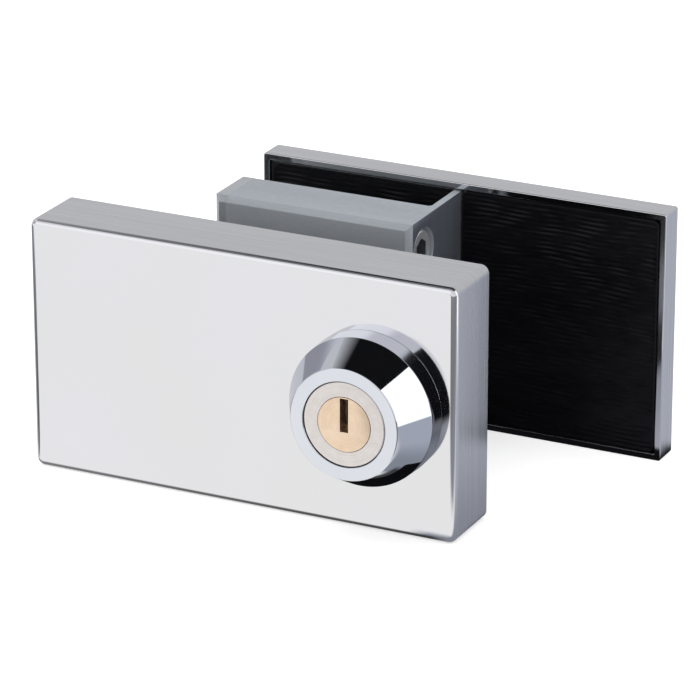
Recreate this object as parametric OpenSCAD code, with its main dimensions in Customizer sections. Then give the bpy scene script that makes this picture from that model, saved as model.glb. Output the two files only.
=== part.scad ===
// Key lock for a frameless glass door leaf, in its two halves as they stand before fitting.
// Front half: deep cover, conical rose, key cylinder, pinion, rack bolt and base plate.
// Rear half: shallow cover, rubber pad and the cast lock case that reaches round the glass edge.
// All sizes in millimetres. X runs along the covers, Y away from the key side, Z up.

/* [Covers] */
// Height of both covers
cover_h = 60; // [56:0.5:70]
// Width of the front cover
front_cover_w = 106; // [104:0.5:120]
// Depth of the front cover
front_cover_d = 17; // [16.6:0.1:20]
// Width of the rear cover
rear_cover_w = 102; // [96:0.5:110]
// Depth of the rear cover
rear_cover_d = 7.2; // [6.8:0.1:9]
// Thickness of the cover sheet
sheet_t = 1.6; // [1.2:0.1:2]
// Corner radius of the front cover
front_corner_r = 2; // [1:0.1:5]
// Corner radius of the rear cover
rear_corner_r = 0.6; // [0.6:0.1:3]
// Bevel along the edges of the front cover's face
front_edge_bevel = 0.9; // [0.3:0.1:1.2]
// Bevel along the edges of the rear cover's face
rear_edge_bevel = 0.5; // [0.3:0.1:1.2]

/* [Glass and stance] */
// Thickness of the glass leaf
glass_t = 12; // [8:0.5:15]
// How far the rear cover's left end stands to the right of the front cover's
stand_x = 26.2; // [22:0.1:40]
// How far the rear pad's face stands behind the front cover's face
stand_y = 64.3; // [58:0.1:80]

/* [Pads and base plates] */
// Thickness of the front rubber pad
front_pad_t = 2; // [1.5:0.1:2.4]
// Thickness of the rear rubber pad
rear_pad_t = 2.4; // [2:0.1:2.8]
// How far both rubber pads stand proud of their cover's rim
pad_proud = 0.2; // [0.1:0.1:0.5]
// Thickness of the front base plate
front_plate_t = 2; // [1.5:0.1:2.4]
// Thickness of the rear base plate
rear_plate_t = 2.2; // [1.8:0.1:2.4]
// Distance from the front cover's left end to the front base plate
front_plate_x = 64.5; // [64:0.1:67]

/* [Rose] */
// Distance from the front cover's right end to the lock axis
axis_from_right = 20.9; // [20.5:0.1:24]
// How far the lock axis lies below the middle of the covers
axis_drop = 0.5; // [0:0.1:1.5]
// Diameter of the rose at the cover
rose_base_d = 35.1; // [34.8:0.1:38]
// Diameter of the rose at its shoulder
rose_shoulder_d = 34.7; // [33:0.1:34.8]
// Distance from the cover to the rose's shoulder
rose_shoulder_y = 4.6; // [3:0.1:6]
// Diameter of the rose at its nose
rose_nose_d = 25.9; // [25:0.1:28]
// Length of the rose
rose_len = 12.8; // [12:0.1:15]
// Thickness of the inner lip that the cylinder's shoulder pulls on
rose_lip_t = 3; // [2:0.1:4]
// Radius of the rounded rim round the rose's nose
rose_rim_r = 0.8; // [0.4:0.1:1.2]

/* [Key cylinder] */
// Diameter of the cylinder's nose
nose_d = 19.7; // [19.2:0.1:20.5]
// Diameter of the cylinder's threaded shank
shank_d = 18; // [17.4:0.1:18.6]
// How far the cylinder's shank reaches behind the cover's face
shank_rear_y = 5.6; // [5.5:0.1:6]
// How far the cylinder's face lies back from the rose's nose
nose_recess = 0.2; // [0.1:0.1:0.6]
// Diameter of the key plug
plug_d = 12.6; // [12:0.1:13.2]
// Diameter of the key plug's rear journal
journal_d = 10; // [9:0.1:10.4]
// Length of the key plug's rear journal
journal_l = 2.6; // [2:0.1:3]
// Side of the key plug's square tail
tail_square = 5; // [4.6:0.1:5.6]
// Width of the keyway
keyway_w = 2; // [1.6:0.1:2.6]
// Height of the keyway
keyway_h = 7.8; // [7:0.1:8]
// How far the keyway's middle lies above the plug's middle
keyway_up = 2.1; // [1.8:0.1:2.3]
// Distance between two wafers
wafer_pitch = 2.2; // [2:0.1:2.3]
// Thickness of a wafer
wafer_t = 0.7; // [0.5:0.05:0.9]
// Width of a wafer
wafer_w = 7.2; // [6.8:0.1:7.4]
// Thickness of the washer behind the cover
washer_t = 0.8; // [0.6:0.1:1]
// Width of the washer's ring
washer_w = 2.6; // [2:0.1:3]
// Thickness of the cylinder nut
nut_t = 3; // [2.4:0.1:3]
// Width of the cylinder nut across its flats
nut_flats = 22; // [21:0.1:22.2]

/* [Pinion and rack] */
// Module of the pinion and the rack
gear_module = 1; // [0.9:0.02:1]
// Thickness of the pinion and of the rack
gear_t = 3.6; // [3:0.1:3.8]
// Play between the teeth, measured along the pitch line
tooth_play = 0.16; // [0.1:0.02:0.3]

/* [Bolt] */
// Height of the bolt head
bolt_h = 16; // [12:0.1:18]
// Thickness of the bolt head
bolt_head_t = 8; // [6:0.1:9]
// Length of the thick bolt head
bolt_head_l = 50; // [44:0.5:52]
// Depth of the bolt's tail below the rack's tooth roots
bolt_tail_h = 5.75; // [4.5:0.1:6]
// Width of the bolt's neck beside the pinion
bolt_neck_w = 5; // [4:0.1:5.5]
// Height of the lip that holds the tail in the guide
guide_lip_h = 2.8; // [2:0.1:2.9]
// Thickness of the guide's walls
guide_wall = 1.3; // [1:0.1:1.4]

/* [Lock case] */
// Length of the lock case with its faceplate
case_l = 49.9; // [48:0.1:51]
// Thickness of the web that joins the case's front to its foot
web_t = 1.8; // [1.5:0.1:4]
// Thickness of the faceplate
faceplate_t = 3; // [2.5:0.1:4]
// Bevel along the front edges of the case
case_bevel = 1.3; // [0.6:0.1:1.4]
// Fillet radius in the inner corners of the case
case_fillet = 0.8; // [0.4:0.1:1.5]
// Thickness of the pad on the case's foot
foot_pad_t = 0.6; // [0.4:0.1:0.9]

/* [Screws] */
// Thread diameter of the two long case screws
case_screw_d = 6; // [5:0.1:6]
// Distance of the case screws from the case's middle, up and down
case_screw_z = 20; // [17:0.1:20.5]
// Thread diameter of the screws in the case's foot
foot_screw_d = 4; // [3:0.1:4]
// Thread diameter of the screws in the front base plate
plate_screw_d = 3; // [2.5:0.1:3]
// Outer diameter of the spacer posts
post_d = 6; // [5:0.1:7]

/* [Hidden] */
$fn = 64;
HULL_FN = 32;

STEEL = "#C9CBD0";
CHROME = "#DDE1E6";
BRASS = "#F0D5B5";
ZINC = "#8E949B";
RUBBER = "#17181B";
DARK_STEEL = "#5D6066";

// Clearances
slide_fit = 0.15;    // the bolt in its guide and window
channel_fit = 0.3;   // the bolt in the case's channel
case_fit = 0.4;      // the case in the front cover's pocket, above, below and at the bolt's end
case_front_fit = 0.6; // the case's front from the cover's inner face
glass_slack = 0.2;   // the case's gap over the glass thickness
shaft_fit = 0.05;    // the plug in its barrel, and threads in their holes
seat_fit = 0.1;      // the barrel in the rose and the cover
plate_fit = 0.3;     // base plates and pads inside the covers
over = 1;            // how far a cutter runs past what it cuts
cut_skin = 0.01;     // how far a cutter starts outside the face it opens
screw_rim = 0.2;     // the straight rim of a countersunk head
plate_corner_r = 1;  // corner radius of base plates and pads
least_r = 0.1;       // the least radius of a corner

// Lock axis, rose and cylinder
axis_x = front_cover_w - axis_from_right;
axis_z = cover_h / 2 - axis_drop;
plug_r = plug_d / 2;
plug_y = nose_recess - rose_len;
rose_wall = 1.6;
wafer_count = 5;
wafer_first = 3;
wafer_play = 0.1;
groove_play = 0.3;
plug_rear_play = 0.3;
plug_rear_y = shank_rear_y + plug_rear_play;
journal_y = plug_rear_y - journal_l;

// The small springs beside the wafers, and the wafers' arms on them
spring_x = 4.5;
spring_low = -1.5;
spring_l = 3;
spring_r = 0.42;
spring_wire_r = 0.14;
spring_turns = 4;
spring_pocket_r = 0.7;
arm_end = spring_x + 0.65;
arm_h = 1;
arm_travel = 1.5;

// Rack and pinion
pinion_teeth = 15;
pressure = 20;
pitch_r = gear_module * pinion_teeth / 2;
base_r = pitch_r * cos(pressure);
tip_r = pitch_r + gear_module;
root_r = pitch_r - 1.25 * gear_module;
rack_pitch = PI * gear_module;
rack_addendum = 0.85 * gear_module;
rack_dedendum = 1.25 * gear_module;
rack_teeth = 7;
gear_y = plug_rear_y;
gear_mid_y = gear_y + gear_t / 2;
rack_z = axis_z - pitch_r;
pinion_screw_d = 3;
pinion_screw_l = 4.5;

// Bolt
bolt_z = cover_h / 2;
tail_z = rack_z - rack_dedendum - bolt_tail_h;
bolt_set_back = 0.3;
bolt_tip_bevel = 1.2;
bolt_heel_bevel = 2;
neck_bevel = 3;
pinion_room = 1;
neck_right = axis_x - tip_r - pinion_room;
neck_left = neck_right - bolt_neck_w;
rack_left = axis_x - 1.5 * rack_pitch;
tail_right = rack_left + rack_teeth * rack_pitch;
head_y = gear_mid_y - bolt_head_t / 2;

// Front base plate, posts and guide
front_seat_y = front_cover_d + pad_proud;
plate_y = front_seat_y - front_pad_t - front_plate_t;
plate_right = front_cover_w - sheet_t - plate_fit;
plate_inset = sheet_t + plate_fit;
plate_w = plate_right - front_plate_x;
plate_h = cover_h - 2 * plate_inset;
post_inset = 4.4;
post_inset_z = plate_inset + post_inset + 0.5;
post_xs = [front_plate_x + post_inset, plate_right - post_inset];
post_zs = [post_inset_z, cover_h - post_inset_z];
post_hole_l = 6;
post_screw_grip = 5;
guide_left = front_plate_x + 1.5;
guide_right = plate_right - 3;
guide_screw_inset = 5;
guide_screw_xs = [guide_left + guide_screw_inset, guide_right - guide_screw_inset];
guide_screw_z = tail_z + bolt_tail_h / 2;
guide_screw_grip = 2.2;
guide_hole_l = 2.4;

// Rear half, in its own coordinates: x from the rear cover's left end, y back from the pad's face
glass_gap = glass_t + glass_slack;
case_t = front_seat_y - glass_slack - sheet_t - case_front_fit;
case_x = 1.1;
case_right = case_x + case_l;
case_z = sheet_t + case_fit;
case_h = cover_h - 2 * case_z;
case_front = -glass_gap - case_t;
cover_lap = (front_cover_w - rear_cover_w) / 2;
closed_y = front_seat_y + glass_t;
channel_back = head_y + bolt_head_t + channel_fit - closed_y;
channel_z = cover_h / 2 - bolt_h / 2 - channel_fit;
channel_h = bolt_h + 2 * channel_fit;
foot_left = plate_inset;
foot_step = 0.3;
case_screw_y = case_front + 7;
screw_head_d = 1.67 * case_screw_d;
screw_head_h = case_screw_d;
counterbore_d = screw_head_d + 1;
counterbore_l = screw_head_h + 0.5;
foot_screw_in = 8;   // from the case's ends to the foot's screws
foot_screw_up = 18;  // from the covers' middle to the foot's screws
foot_screw_xs = [case_x + foot_screw_in, case_right - foot_screw_in];
foot_screw_zs = [cover_h / 2 - foot_screw_up, cover_h / 2 + foot_screw_up];
cover_screw_d = 3;
cover_screw_in = 12;    // from the case's ends to its tapped holes
cover_screw_back = 9.5; // from the case's front to its tapped holes
cover_screw_xs = [case_x + cover_screw_in, case_right - cover_screw_in];
cover_screw_y = case_front + cover_screw_back;
cover_screw_l = 4.5;
rear_plate_y = rear_pad_t;
rear_inner_y = rear_cover_d + pad_proud - sheet_t;

// The whole part stands centred on its own footprint
rear_back_y = stand_y + rear_cover_d + pad_proud;
centre = [max(front_cover_w, stand_x + rear_cover_w) / 2, (rear_back_y - rose_len) / 2, 0];

// Placing helpers
module in_frame() { translate(-centre) children(); }
module at_rear() { in_frame() translate([stand_x, stand_y, 0]) children(); }
module at_axis() { in_frame() translate([axis_x, 0, axis_z]) children(); }

// A flat outline in X and Z, drawn out along Y from y by length l
module along_y(y, l) {
    translate([0, y, 0]) rotate([90, 0, 0]) mirror([0, 0, 1]) linear_extrude(l) children();
}

// A round bar along Y
module bar_y(r, y, l) { translate([0, y, 0]) rotate([-90, 0, 0]) cylinder(r = r, h = l); }

// A profile of [radius, y] points turned about the Y axis
module turned_y(points) { rotate([-90, 0, 0]) rotate_extrude() polygon(points); }

// A rectangle with rounded corners
module rounded_rect(w, h, r) {
    translate([r, 0]) square([w - 2 * r, h]);
    translate([0, r]) square([w, h - 2 * r]);
    for (x = [r, w - r], z = [r, h - r]) translate([x, z]) circle(r);
}

// A countersunk screw along Y with its head's face at y = 0 and its thread towards -Y
module countersunk_y(d, l) {
    head_h = d * 0.55;
    difference() {
        turned_y([[0, 0], [d, 0], [d, -screw_rim], [d / 2, -head_h], [d / 2, -l], [0, -l]]);
        for (a = [0, 90]) rotate([0, a, 0]) translate([-d * 0.6, -head_h * 0.6, -d * 0.09])
            cube([d * 1.2, head_h, d * 0.18]);
    }
}

// The hole for a countersunk screw, its face at y = 0 and the hole towards -Y
module countersink_y(d, l) {
    e = shaft_fit;
    turned_y([[0, cut_skin], [d + e, cut_skin], [d + e, -screw_rim - e], [d / 2 + e, -d * 0.55 - e],
              [d / 2 + e, -l], [0, -l]]);
}

// The bevelled outer form of a cover, its face at y = 0 and its rim at y = d
module cover_form(w, d, r, bevel) {
    hull() {
        along_y(0, 0.01) cover_outline(w, r, bevel, $fn = HULL_FN);
        along_y(bevel, d - bevel) cover_outline(w, r, 0, $fn = HULL_FN);
    }
}

// A cover's outline, drawn in by an inset on all sides
module cover_outline(w, r, inset) {
    translate([inset, inset])
        rounded_rect(w - 2 * inset, cover_h - 2 * inset, max(r - inset, least_r));
}

// A pressed cover: the outer form less its inside, open at the rim
module cover_shell(w, d, r, bevel) {
    difference() {
        cover_form(w, d, r, bevel);
        along_y(sheet_t, d) cover_outline(w, max(r, sheet_t + 0.3), sheet_t);
    }
}

// Front half
module front_cover() {
    color(STEEL) in_frame() difference() {
        cover_shell(front_cover_w, front_cover_d, front_corner_r, front_edge_bevel);
        translate([axis_x, 0, axis_z]) bar_y(shank_d / 2 + seat_fit, -over, sheet_t + 2 * over);
        translate([-over, head_y - slide_fit, bolt_z - bolt_h / 2 - slide_fit])
            cube([sheet_t + 2 * over, bolt_head_t + 2 * slide_fit, bolt_h + 2 * slide_fit]);
        for (x = cover_screw_xs) translate([cover_lap + x, cover_screw_y + closed_y, 0])
            rotate([-90, 0, 0]) countersink_y(cover_screw_d, sheet_t + over);
    }
}

module rose() {
    foot_r = rose_base_d / 2;
    nose_r = rose_nose_d / 2;
    bore_r = nose_d / 2 + seat_fit;
    lip_r = shank_d / 2 + seat_fit;
    rim = rose_rim_r;
    hollow_in = bore_r + rose_wall;
    hollow_out = rose_shoulder_d / 2 - rose_wall;
    hollow_y = rose_wall - rose_shoulder_y;
    color(CHROME) at_axis() difference() {
        union() {
            turned_y([[lip_r, 0], [foot_r, 0], [rose_shoulder_d / 2, -rose_shoulder_y],
                      [nose_r, -rose_len + rim],
                      [nose_r - rim, -rose_len + rim], [nose_r - rim, -rose_len], [bore_r, -rose_len],
                      [bore_r, -rose_lip_t], [lip_r, -rose_lip_t]]);
            rotate([-90, 0, 0]) translate([0, 0, -rose_len + rim]) rotate_extrude()
                translate([nose_r - rim, 0]) intersection() {
                    circle(rim);
                    translate([0, -rim]) square(rim);
                }
        }
        turned_y([[hollow_in, cut_skin], [hollow_out, cut_skin], [hollow_out - rose_wall / 2, hollow_y],
                  [hollow_in, hollow_y]]);
    }
}

module cylinder_body() {
    nose_r = nose_d / 2;
    face_bevel = 0.4;
    bore_r = plug_r + shaft_fit;
    groove_h = 1.2;
    groove_y = wafer_first / 2;
    groove_l = wafer_first + wafer_count * wafer_pitch - groove_y;
    color(STEEL) at_axis() difference() {
        turned_y([[bore_r, plug_y], [nose_r - face_bevel, plug_y], [nose_r, plug_y + face_bevel],
                  [nose_r, -rose_lip_t], [shank_d / 2, -rose_lip_t], [shank_d / 2, shank_rear_y],
                  [journal_d / 2 + shaft_fit, shank_rear_y], [journal_d / 2 + shaft_fit, journal_y],
                  [bore_r, journal_y]]);
        translate([-wafer_w / 2 - groove_play, plug_y + groove_y, -bore_r - groove_h])
            cube([wafer_w + 2 * groove_play, groove_l, 2 * (bore_r + groove_h)]);
    }
}

module cylinder_washer() {
    color(DARK_STEEL) at_axis() difference() {
        bar_y(shank_d / 2 + washer_w, sheet_t, washer_t);
        bar_y(shank_d / 2 + seat_fit, sheet_t - over, washer_t + 2 * over);
    }
}

module cylinder_nut() {
    hex_r = nut_flats / 2 / cos(30);
    bevel = 0.7;
    nut_y = sheet_t + washer_t;
    color(STEEL) at_axis() difference() {
        intersection() {
            translate([0, nut_y, 0]) rotate([-90, 0, 0]) cylinder(r = hex_r, h = nut_t, $fn = 6);
            turned_y([[0, nut_y], [hex_r, nut_y], [hex_r, nut_y + nut_t - bevel],
                      [(nut_flats - bevel) / 2, nut_y + nut_t], [0, nut_y + nut_t]]);
        }
        bar_y(shank_d / 2 + shaft_fit, nut_y - over, nut_t + 2 * over);
    }
}

function wafer_y(i) = plug_y + wafer_first + i * wafer_pitch;

module key_plug() {
    slot_t = wafer_t + wafer_play;
    color(BRASS) at_axis() difference() {
        union() {
            bar_y(plug_r, plug_y, journal_y - shaft_fit - plug_y);
            bar_y(journal_d / 2, plug_y + wafer_first, plug_rear_y - plug_y - wafer_first);
            translate([-tail_square / 2, plug_rear_y - over, -tail_square / 2])
                cube([tail_square, gear_t + over - seat_fit, tail_square]);
        }
        translate([-keyway_w / 2, plug_y - over, keyway_up - keyway_h / 2])
            cube([keyway_w, wafer_first + wafer_count * wafer_pitch + over, keyway_h]);
        for (i = [0 : wafer_count - 1]) translate([0, wafer_y(i), 0]) {
            translate([-wafer_w / 2 - wafer_play, -slot_t / 2, -plug_r])
                cube([wafer_w + 2 * wafer_play, slot_t, 2 * plug_r]);
            translate([0, -slot_t / 2, spring_low])
                cube([arm_end + wafer_play, slot_t, spring_l + arm_h + arm_travel]);
            translate([spring_x, 0, spring_low]) cylinder(r = spring_pocket_r, h = spring_l);
        }
        bar_y(pinion_screw_d / 2 + shaft_fit, gear_y + gear_t - pinion_screw_l - 0.5, pinion_screw_l + over);
    }
}

module wafers() {
    color("#C8B07A") at_axis() for (i = [0 : wafer_count - 1]) translate([0, wafer_y(i), 0]) {
        lift = [0.4, -0.3, 0.1, -0.5, 0.3][i];
        difference() {
            union() {
                intersection() {
                    bar_y(plug_r - 0.15, -wafer_t / 2, wafer_t);
                    translate([-wafer_w / 2, -over, -plug_r]) cube([wafer_w, 2 * over, 2 * plug_r]);
                }
                translate([0, -wafer_t / 2, spring_low + spring_l + wafer_play])
                    cube([arm_end, wafer_t, arm_h]);
            }
            translate([-keyway_w / 2 - 0.4, -over, keyway_up - keyway_h / 2 + 0.5 + lift])
                cube([keyway_w + 0.8, 2 * over, keyway_h - 2]);
        }
    }
}

// A round wire wound up Z: rings of points joined into one closed skin
module coil(r, wire_r, l, turns) {
    ring = 8;
    sides = 5;
    rings = turns * ring;
    points = [for (i = [0 : rings], k = [0 : sides - 1])
        let (a = 360 * i / ring, b = 360 * k / sides, q = r + wire_r * cos(b))
        [q * cos(a), q * sin(a), wire_r + (l - 2 * wire_r) * i / rings + wire_r * sin(b)]];
    skin = [for (i = [0 : rings - 1], k = [0 : sides - 1], half = [0, 1])
        let (n = (k + 1) % sides, low = i * sides, high = low + sides)
        half == 0 ? [low + k, high + n, high + k] : [low + k, low + n, high + n]];
    ends = [[for (k = [sides - 1 : -1 : 0]) k], [for (k = [0 : sides - 1]) rings * sides + k]];
    polyhedron(points, concat(skin, ends), convexity = 6);
}

module wafer_springs() {
    color(DARK_STEEL) at_axis() for (i = [0 : wafer_count - 1])
        translate([spring_x, wafer_y(i), spring_low + shaft_fit])
            coil(spring_r, spring_wire_r, spring_l - shaft_fit, spring_turns);
}

// The angle by which an involute has turned away at radius r, in degrees
function involute(r) = let (t = sqrt(max(pow(r / base_r, 2) - 1, 0))) t * 180 / PI - atan(t);

// Half the angle that a pinion tooth covers at radius r
function half_tooth(r) = 360 / (4 * pinion_teeth) - (tooth_play / 2 / pitch_r) * 180 / PI / 2
    + involute(pitch_r) - involute(max(r, base_r));

function polar(r, a) = [r * cos(a), r * sin(a)];

module pinion_outline() {
    radii = [root_r, base_r, pitch_r - gear_module * 0.1, pitch_r + gear_module * 0.4, tip_r];
    step = 360 / pinion_teeth;
    polygon([for (i = [0 : pinion_teeth - 1]) let (mid = -90 + step / 2 + i * step)
        each concat([for (r = radii) polar(r, mid - half_tooth(r))],
                    [for (k = [len(radii) - 1 : -1 : 0]) polar(radii[k], mid + half_tooth(radii[k]))])]);
}

module pinion() {
    hole = tail_square + 2 * shaft_fit;
    color(STEEL) at_axis() difference() {
        along_y(gear_y, gear_t) pinion_outline();
        translate([-hole / 2, gear_y - over, -hole / 2]) cube([hole, gear_t + 2 * over, hole]);
    }
}

module pinion_screw() {
    seat_y = gear_y + gear_t;
    head_r = 1.2 * pinion_screw_d;
    head_h = 0.7 * pinion_screw_d;
    slot_l = head_r;
    slot_w = head_r / 5;
    color(STEEL) at_axis() difference() {
        union() {
            turned_y([[0, seat_y], [head_r, seat_y], [head_r, seat_y + 0.4 * head_h],
                      [0.75 * head_r, seat_y + 0.9 * head_h], [0, seat_y + head_h]]);
            bar_y(pinion_screw_d / 2, seat_y - pinion_screw_l, pinion_screw_l + head_h / 2);
        }
        for (a = [0, 90]) rotate([0, a, 0]) translate([-slot_l / 2, seat_y + head_h / 2, -slot_w / 2])
            cube([slot_l, head_h, slot_w]);
    }
}

// One straight-sided rack tooth, drawn from its root line
module rack_tooth() {
    half = rack_pitch / 4 - tooth_play / 4;
    flare = tan(pressure);
    root = half + rack_dedendum * flare;
    crest = half - rack_addendum * flare;
    polygon([[-root, -rack_dedendum], [root, -rack_dedendum], [crest, rack_addendum],
             [-crest, rack_addendum]]);
}

module bolt() {
    low = bolt_z - bolt_h / 2;
    high = bolt_z + bolt_h / 2;
    tip = bolt_tip_bevel;
    heel = bolt_heel_bevel;
    color(STEEL) in_frame() {
        along_y(gear_y, gear_t) {
            polygon([[bolt_head_l - over, low], [neck_left, low], [neck_left, tail_z], [tail_right, tail_z],
                     [tail_right, rack_z - rack_dedendum], [neck_right, rack_z - rack_dedendum],
                     [neck_right, high - neck_bevel], [neck_right - neck_bevel, high],
                     [bolt_head_l - over, high]]);
            for (i = [0 : rack_teeth - 1]) translate([rack_left + (i + 0.5) * rack_pitch, rack_z])
                rack_tooth();
        }
        translate([0, 0, low]) linear_extrude(bolt_h)
            polygon([[bolt_set_back, head_y + tip], [bolt_set_back + tip / 2, head_y],
                     [bolt_head_l - heel, head_y], [bolt_head_l, head_y + heel],
                     [bolt_head_l, head_y + bolt_head_t - heel], [bolt_head_l - heel, head_y + bolt_head_t],
                     [bolt_set_back + tip / 2, head_y + bolt_head_t],
                     [bolt_set_back, head_y + bolt_head_t - tip]]);
    }
}

module bolt_guide() {
    l = guide_right - guide_left;
    floor_z = tail_z - slide_fit - guide_wall;
    groove_y = gear_y - slide_fit;
    color(DARK_STEEL) in_frame() difference() {
        translate([guide_left, groove_y - guide_wall, floor_z])
            cube([l, plate_y - groove_y + guide_wall, guide_wall + slide_fit + bolt_tail_h]);
        translate([guide_left - over, groove_y, tail_z - slide_fit])
            cube([l + 2 * over, gear_t + 2 * slide_fit, bolt_tail_h + over]);
        translate([guide_left - over, groove_y - guide_wall - over, tail_z + guide_lip_h])
            cube([l + 2 * over, guide_wall + 2 * over, bolt_tail_h]);
        for (x = guide_screw_xs) translate([x, 0, guide_screw_z])
            bar_y(plate_screw_d / 2 + shaft_fit, plate_y - guide_hole_l, guide_hole_l + over);
    }
}

module guide_screws() {
    color(STEEL) in_frame() for (x = guide_screw_xs)
        translate([x, plate_y + front_plate_t, guide_screw_z])
            countersunk_y(plate_screw_d, front_plate_t + guide_screw_grip);
}

module front_base_plate() {
    color(DARK_STEEL) in_frame() difference() {
        translate([front_plate_x, 0, plate_inset])
            along_y(plate_y, front_plate_t) rounded_rect(plate_w, plate_h, plate_corner_r);
        for (x = post_xs, z = post_zs) translate([x, plate_y + front_plate_t, z])
            countersink_y(plate_screw_d, front_plate_t + over);
        for (x = guide_screw_xs) translate([x, plate_y + front_plate_t, guide_screw_z])
            countersink_y(plate_screw_d, front_plate_t + over);
    }
}

module base_plate_posts() {
    color(STEEL) in_frame() for (x = post_xs, z = post_zs) translate([x, 0, z]) difference() {
        bar_y(post_d / 2, sheet_t, plate_y - sheet_t);
        bar_y(plate_screw_d / 2 + shaft_fit, plate_y - post_hole_l, post_hole_l + over);
    }
}

module base_plate_screws() {
    color(STEEL) in_frame() for (x = post_xs, z = post_zs)
        translate([x, plate_y + front_plate_t, z])
            countersunk_y(plate_screw_d, front_plate_t + post_screw_grip);
}

module front_pad() {
    color(RUBBER) in_frame() translate([front_plate_x, 0, plate_inset])
        along_y(plate_y + front_plate_t, front_pad_t) rounded_rect(plate_w, plate_h, plate_corner_r);
}

// Rear half
module rear_cover() {
    color(STEEL) at_rear() translate([0, rear_cover_d + pad_proud, 0]) mirror([0, 1, 0])
        cover_shell(rear_cover_w, rear_cover_d, rear_corner_r, rear_edge_bevel);
}

module rear_base_plate() {
    color(DARK_STEEL) at_rear() difference() {
        translate([plate_inset, 0, plate_inset]) along_y(rear_plate_y, rear_plate_t)
            rounded_rect(rear_cover_w - 2 * plate_inset, plate_h, plate_corner_r);
        for (x = foot_screw_xs, z = foot_screw_zs) translate([x, rear_plate_y + rear_plate_t, z])
            countersink_y(foot_screw_d, rear_plate_t + over);
    }
}

// The rubber pad, cut out round the foot of the case
module rear_pad() {
    inset = sheet_t + seat_fit;
    edge = 0.4;
    color(RUBBER) at_rear() difference() {
        translate([inset, 0, inset]) along_y(0, rear_pad_t)
            rounded_rect(rear_cover_w - 2 * inset, cover_h - 2 * inset, plate_corner_r);
        translate([-over, -over, case_z - edge])
            cube([case_right + edge + over, rear_pad_t + 2 * over, case_h + 2 * edge]);
    }
}

module cover_pads() {
    back = rear_plate_y + rear_plate_t;
    pad = [14, rear_inner_y - back, 9];
    from_side = 20;
    from_edge = 6;
    xs = [from_side, rear_cover_w - from_side - pad[0]];
    zs = [from_edge, cover_h - from_edge - pad[2]];
    color("#E8E8E4") at_rear() for (x = xs, z = zs) translate([x, back, z]) cube(pad);
}

// The C-shaped outline of the case seen from above, with its inner corners filleted
module case_plan() {
    left = case_x + faceplate_t;
    f = case_fillet;
    inner_x = case_right - web_t;
    polygon([[left, case_front], [case_right - case_bevel, case_front],
             [case_right, case_front + case_bevel], [case_right, -seat_fit],
             [case_right - foot_step, -seat_fit], [case_right - foot_step, rear_pad_t],
             [foot_left, rear_pad_t], [foot_left, foot_pad_t], [inner_x, foot_pad_t],
             [inner_x, -glass_gap], [left, -glass_gap]]);
    difference() {
        translate([inner_x - f, -glass_gap - cut_skin]) square([f + cut_skin, f + cut_skin]);
        translate([inner_x - f, -glass_gap + f]) circle(f);
    }
}

// What is cut from the case and its faceplate alike: the bolt's channel and the long bevels
module case_front_cuts() {
    b = case_bevel;
    l = case_right + 2 * over;
    translate([-over, case_front - over, channel_z]) cube([l, channel_back - case_front + over, channel_h]);
    for (s = [0, 1]) translate([0, case_front, cover_h / 2]) mirror([0, 0, s])
        translate([-over, 0, case_h / 2]) rotate([45, 0, 0])
            translate([0, -b, -b * sqrt(2) / 2]) cube([l, 2 * b, b * sqrt(2)]);
}

module lock_case() {
    mid = cover_h / 2;
    color(ZINC) at_rear() difference() {
        translate([0, 0, case_z]) linear_extrude(case_h) case_plan();
        case_front_cuts();
        for (s = [-1, 1]) translate([0, case_screw_y, mid + s * case_screw_z]) rotate([0, 90, 0]) {
            translate([0, 0, case_right - counterbore_l])
                cylinder(d = counterbore_d, h = counterbore_l + over);
            cylinder(d = case_screw_d + 0.5, h = case_right);
        }
        for (x = foot_screw_xs, z = foot_screw_zs) translate([x, 0, z])
            bar_y(foot_screw_d / 2 + shaft_fit, foot_pad_t - over, rear_pad_t + over);
        for (x = cover_screw_xs) translate([x, cover_screw_y, case_z - over])
            cylinder(d = cover_screw_d * 0.85, h = cover_screw_l + over);
    }
}

module faceplate() {
    mid = cover_h / 2;
    b = case_bevel;
    color(STEEL) at_rear() difference() {
        translate([0, 0, case_z]) linear_extrude(case_h)
            polygon([[case_x, case_front + b], [case_x + b, case_front],
                     [case_x + faceplate_t, case_front], [case_x + faceplate_t, -glass_gap],
                     [case_x, -glass_gap]]);
        case_front_cuts();
        for (s = [-1, 1]) translate([-over, case_screw_y, mid + s * case_screw_z]) rotate([0, 90, 0])
            cylinder(d = case_screw_d + 2 * shaft_fit, h = faceplate_t + case_x + 2 * over);
    }
}

module case_screws() {
    socket_flats = case_screw_d * 5 / 6;
    head_left = case_right - counterbore_l;
    tip = case_x + 0.4;
    bevel = 0.6;
    shoulder = screw_head_h - bevel;
    color(CHROME) at_rear() for (s = [-1, 1])
        translate([0, case_screw_y, cover_h / 2 + s * case_screw_z]) rotate([0, 90, 0]) difference() {
            union() {
                translate([0, 0, tip]) cylinder(d = case_screw_d, h = head_left - tip + over);
                translate([0, 0, head_left]) cylinder(d = screw_head_d, h = shoulder);
                translate([0, 0, head_left + shoulder])
                    cylinder(d1 = screw_head_d, d2 = screw_head_d - 2 * bevel, h = bevel);
            }
            translate([0, 0, head_left + screw_head_h / 2])
                cylinder(r = socket_flats / 2 / cos(30), h = screw_head_h, $fn = 6);
        }
}

module foot_screws() {
    color(STEEL) at_rear() for (x = foot_screw_xs, z = foot_screw_zs)
        translate([x, rear_plate_y + rear_plate_t, z])
            countersunk_y(foot_screw_d, rear_plate_t + rear_pad_t - foot_pad_t);
}

// Thin rubber on the case's foot, level with the big pad, with the foot's rim left bare
module foot_pad() {
    rim = 0.5;
    left = foot_left + rim;
    color(RUBBER) at_rear() translate([left, 0, case_z + rim])
        cube([case_right - web_t - rim - left, foot_pad_t, case_h - 2 * rim]);
}

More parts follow.
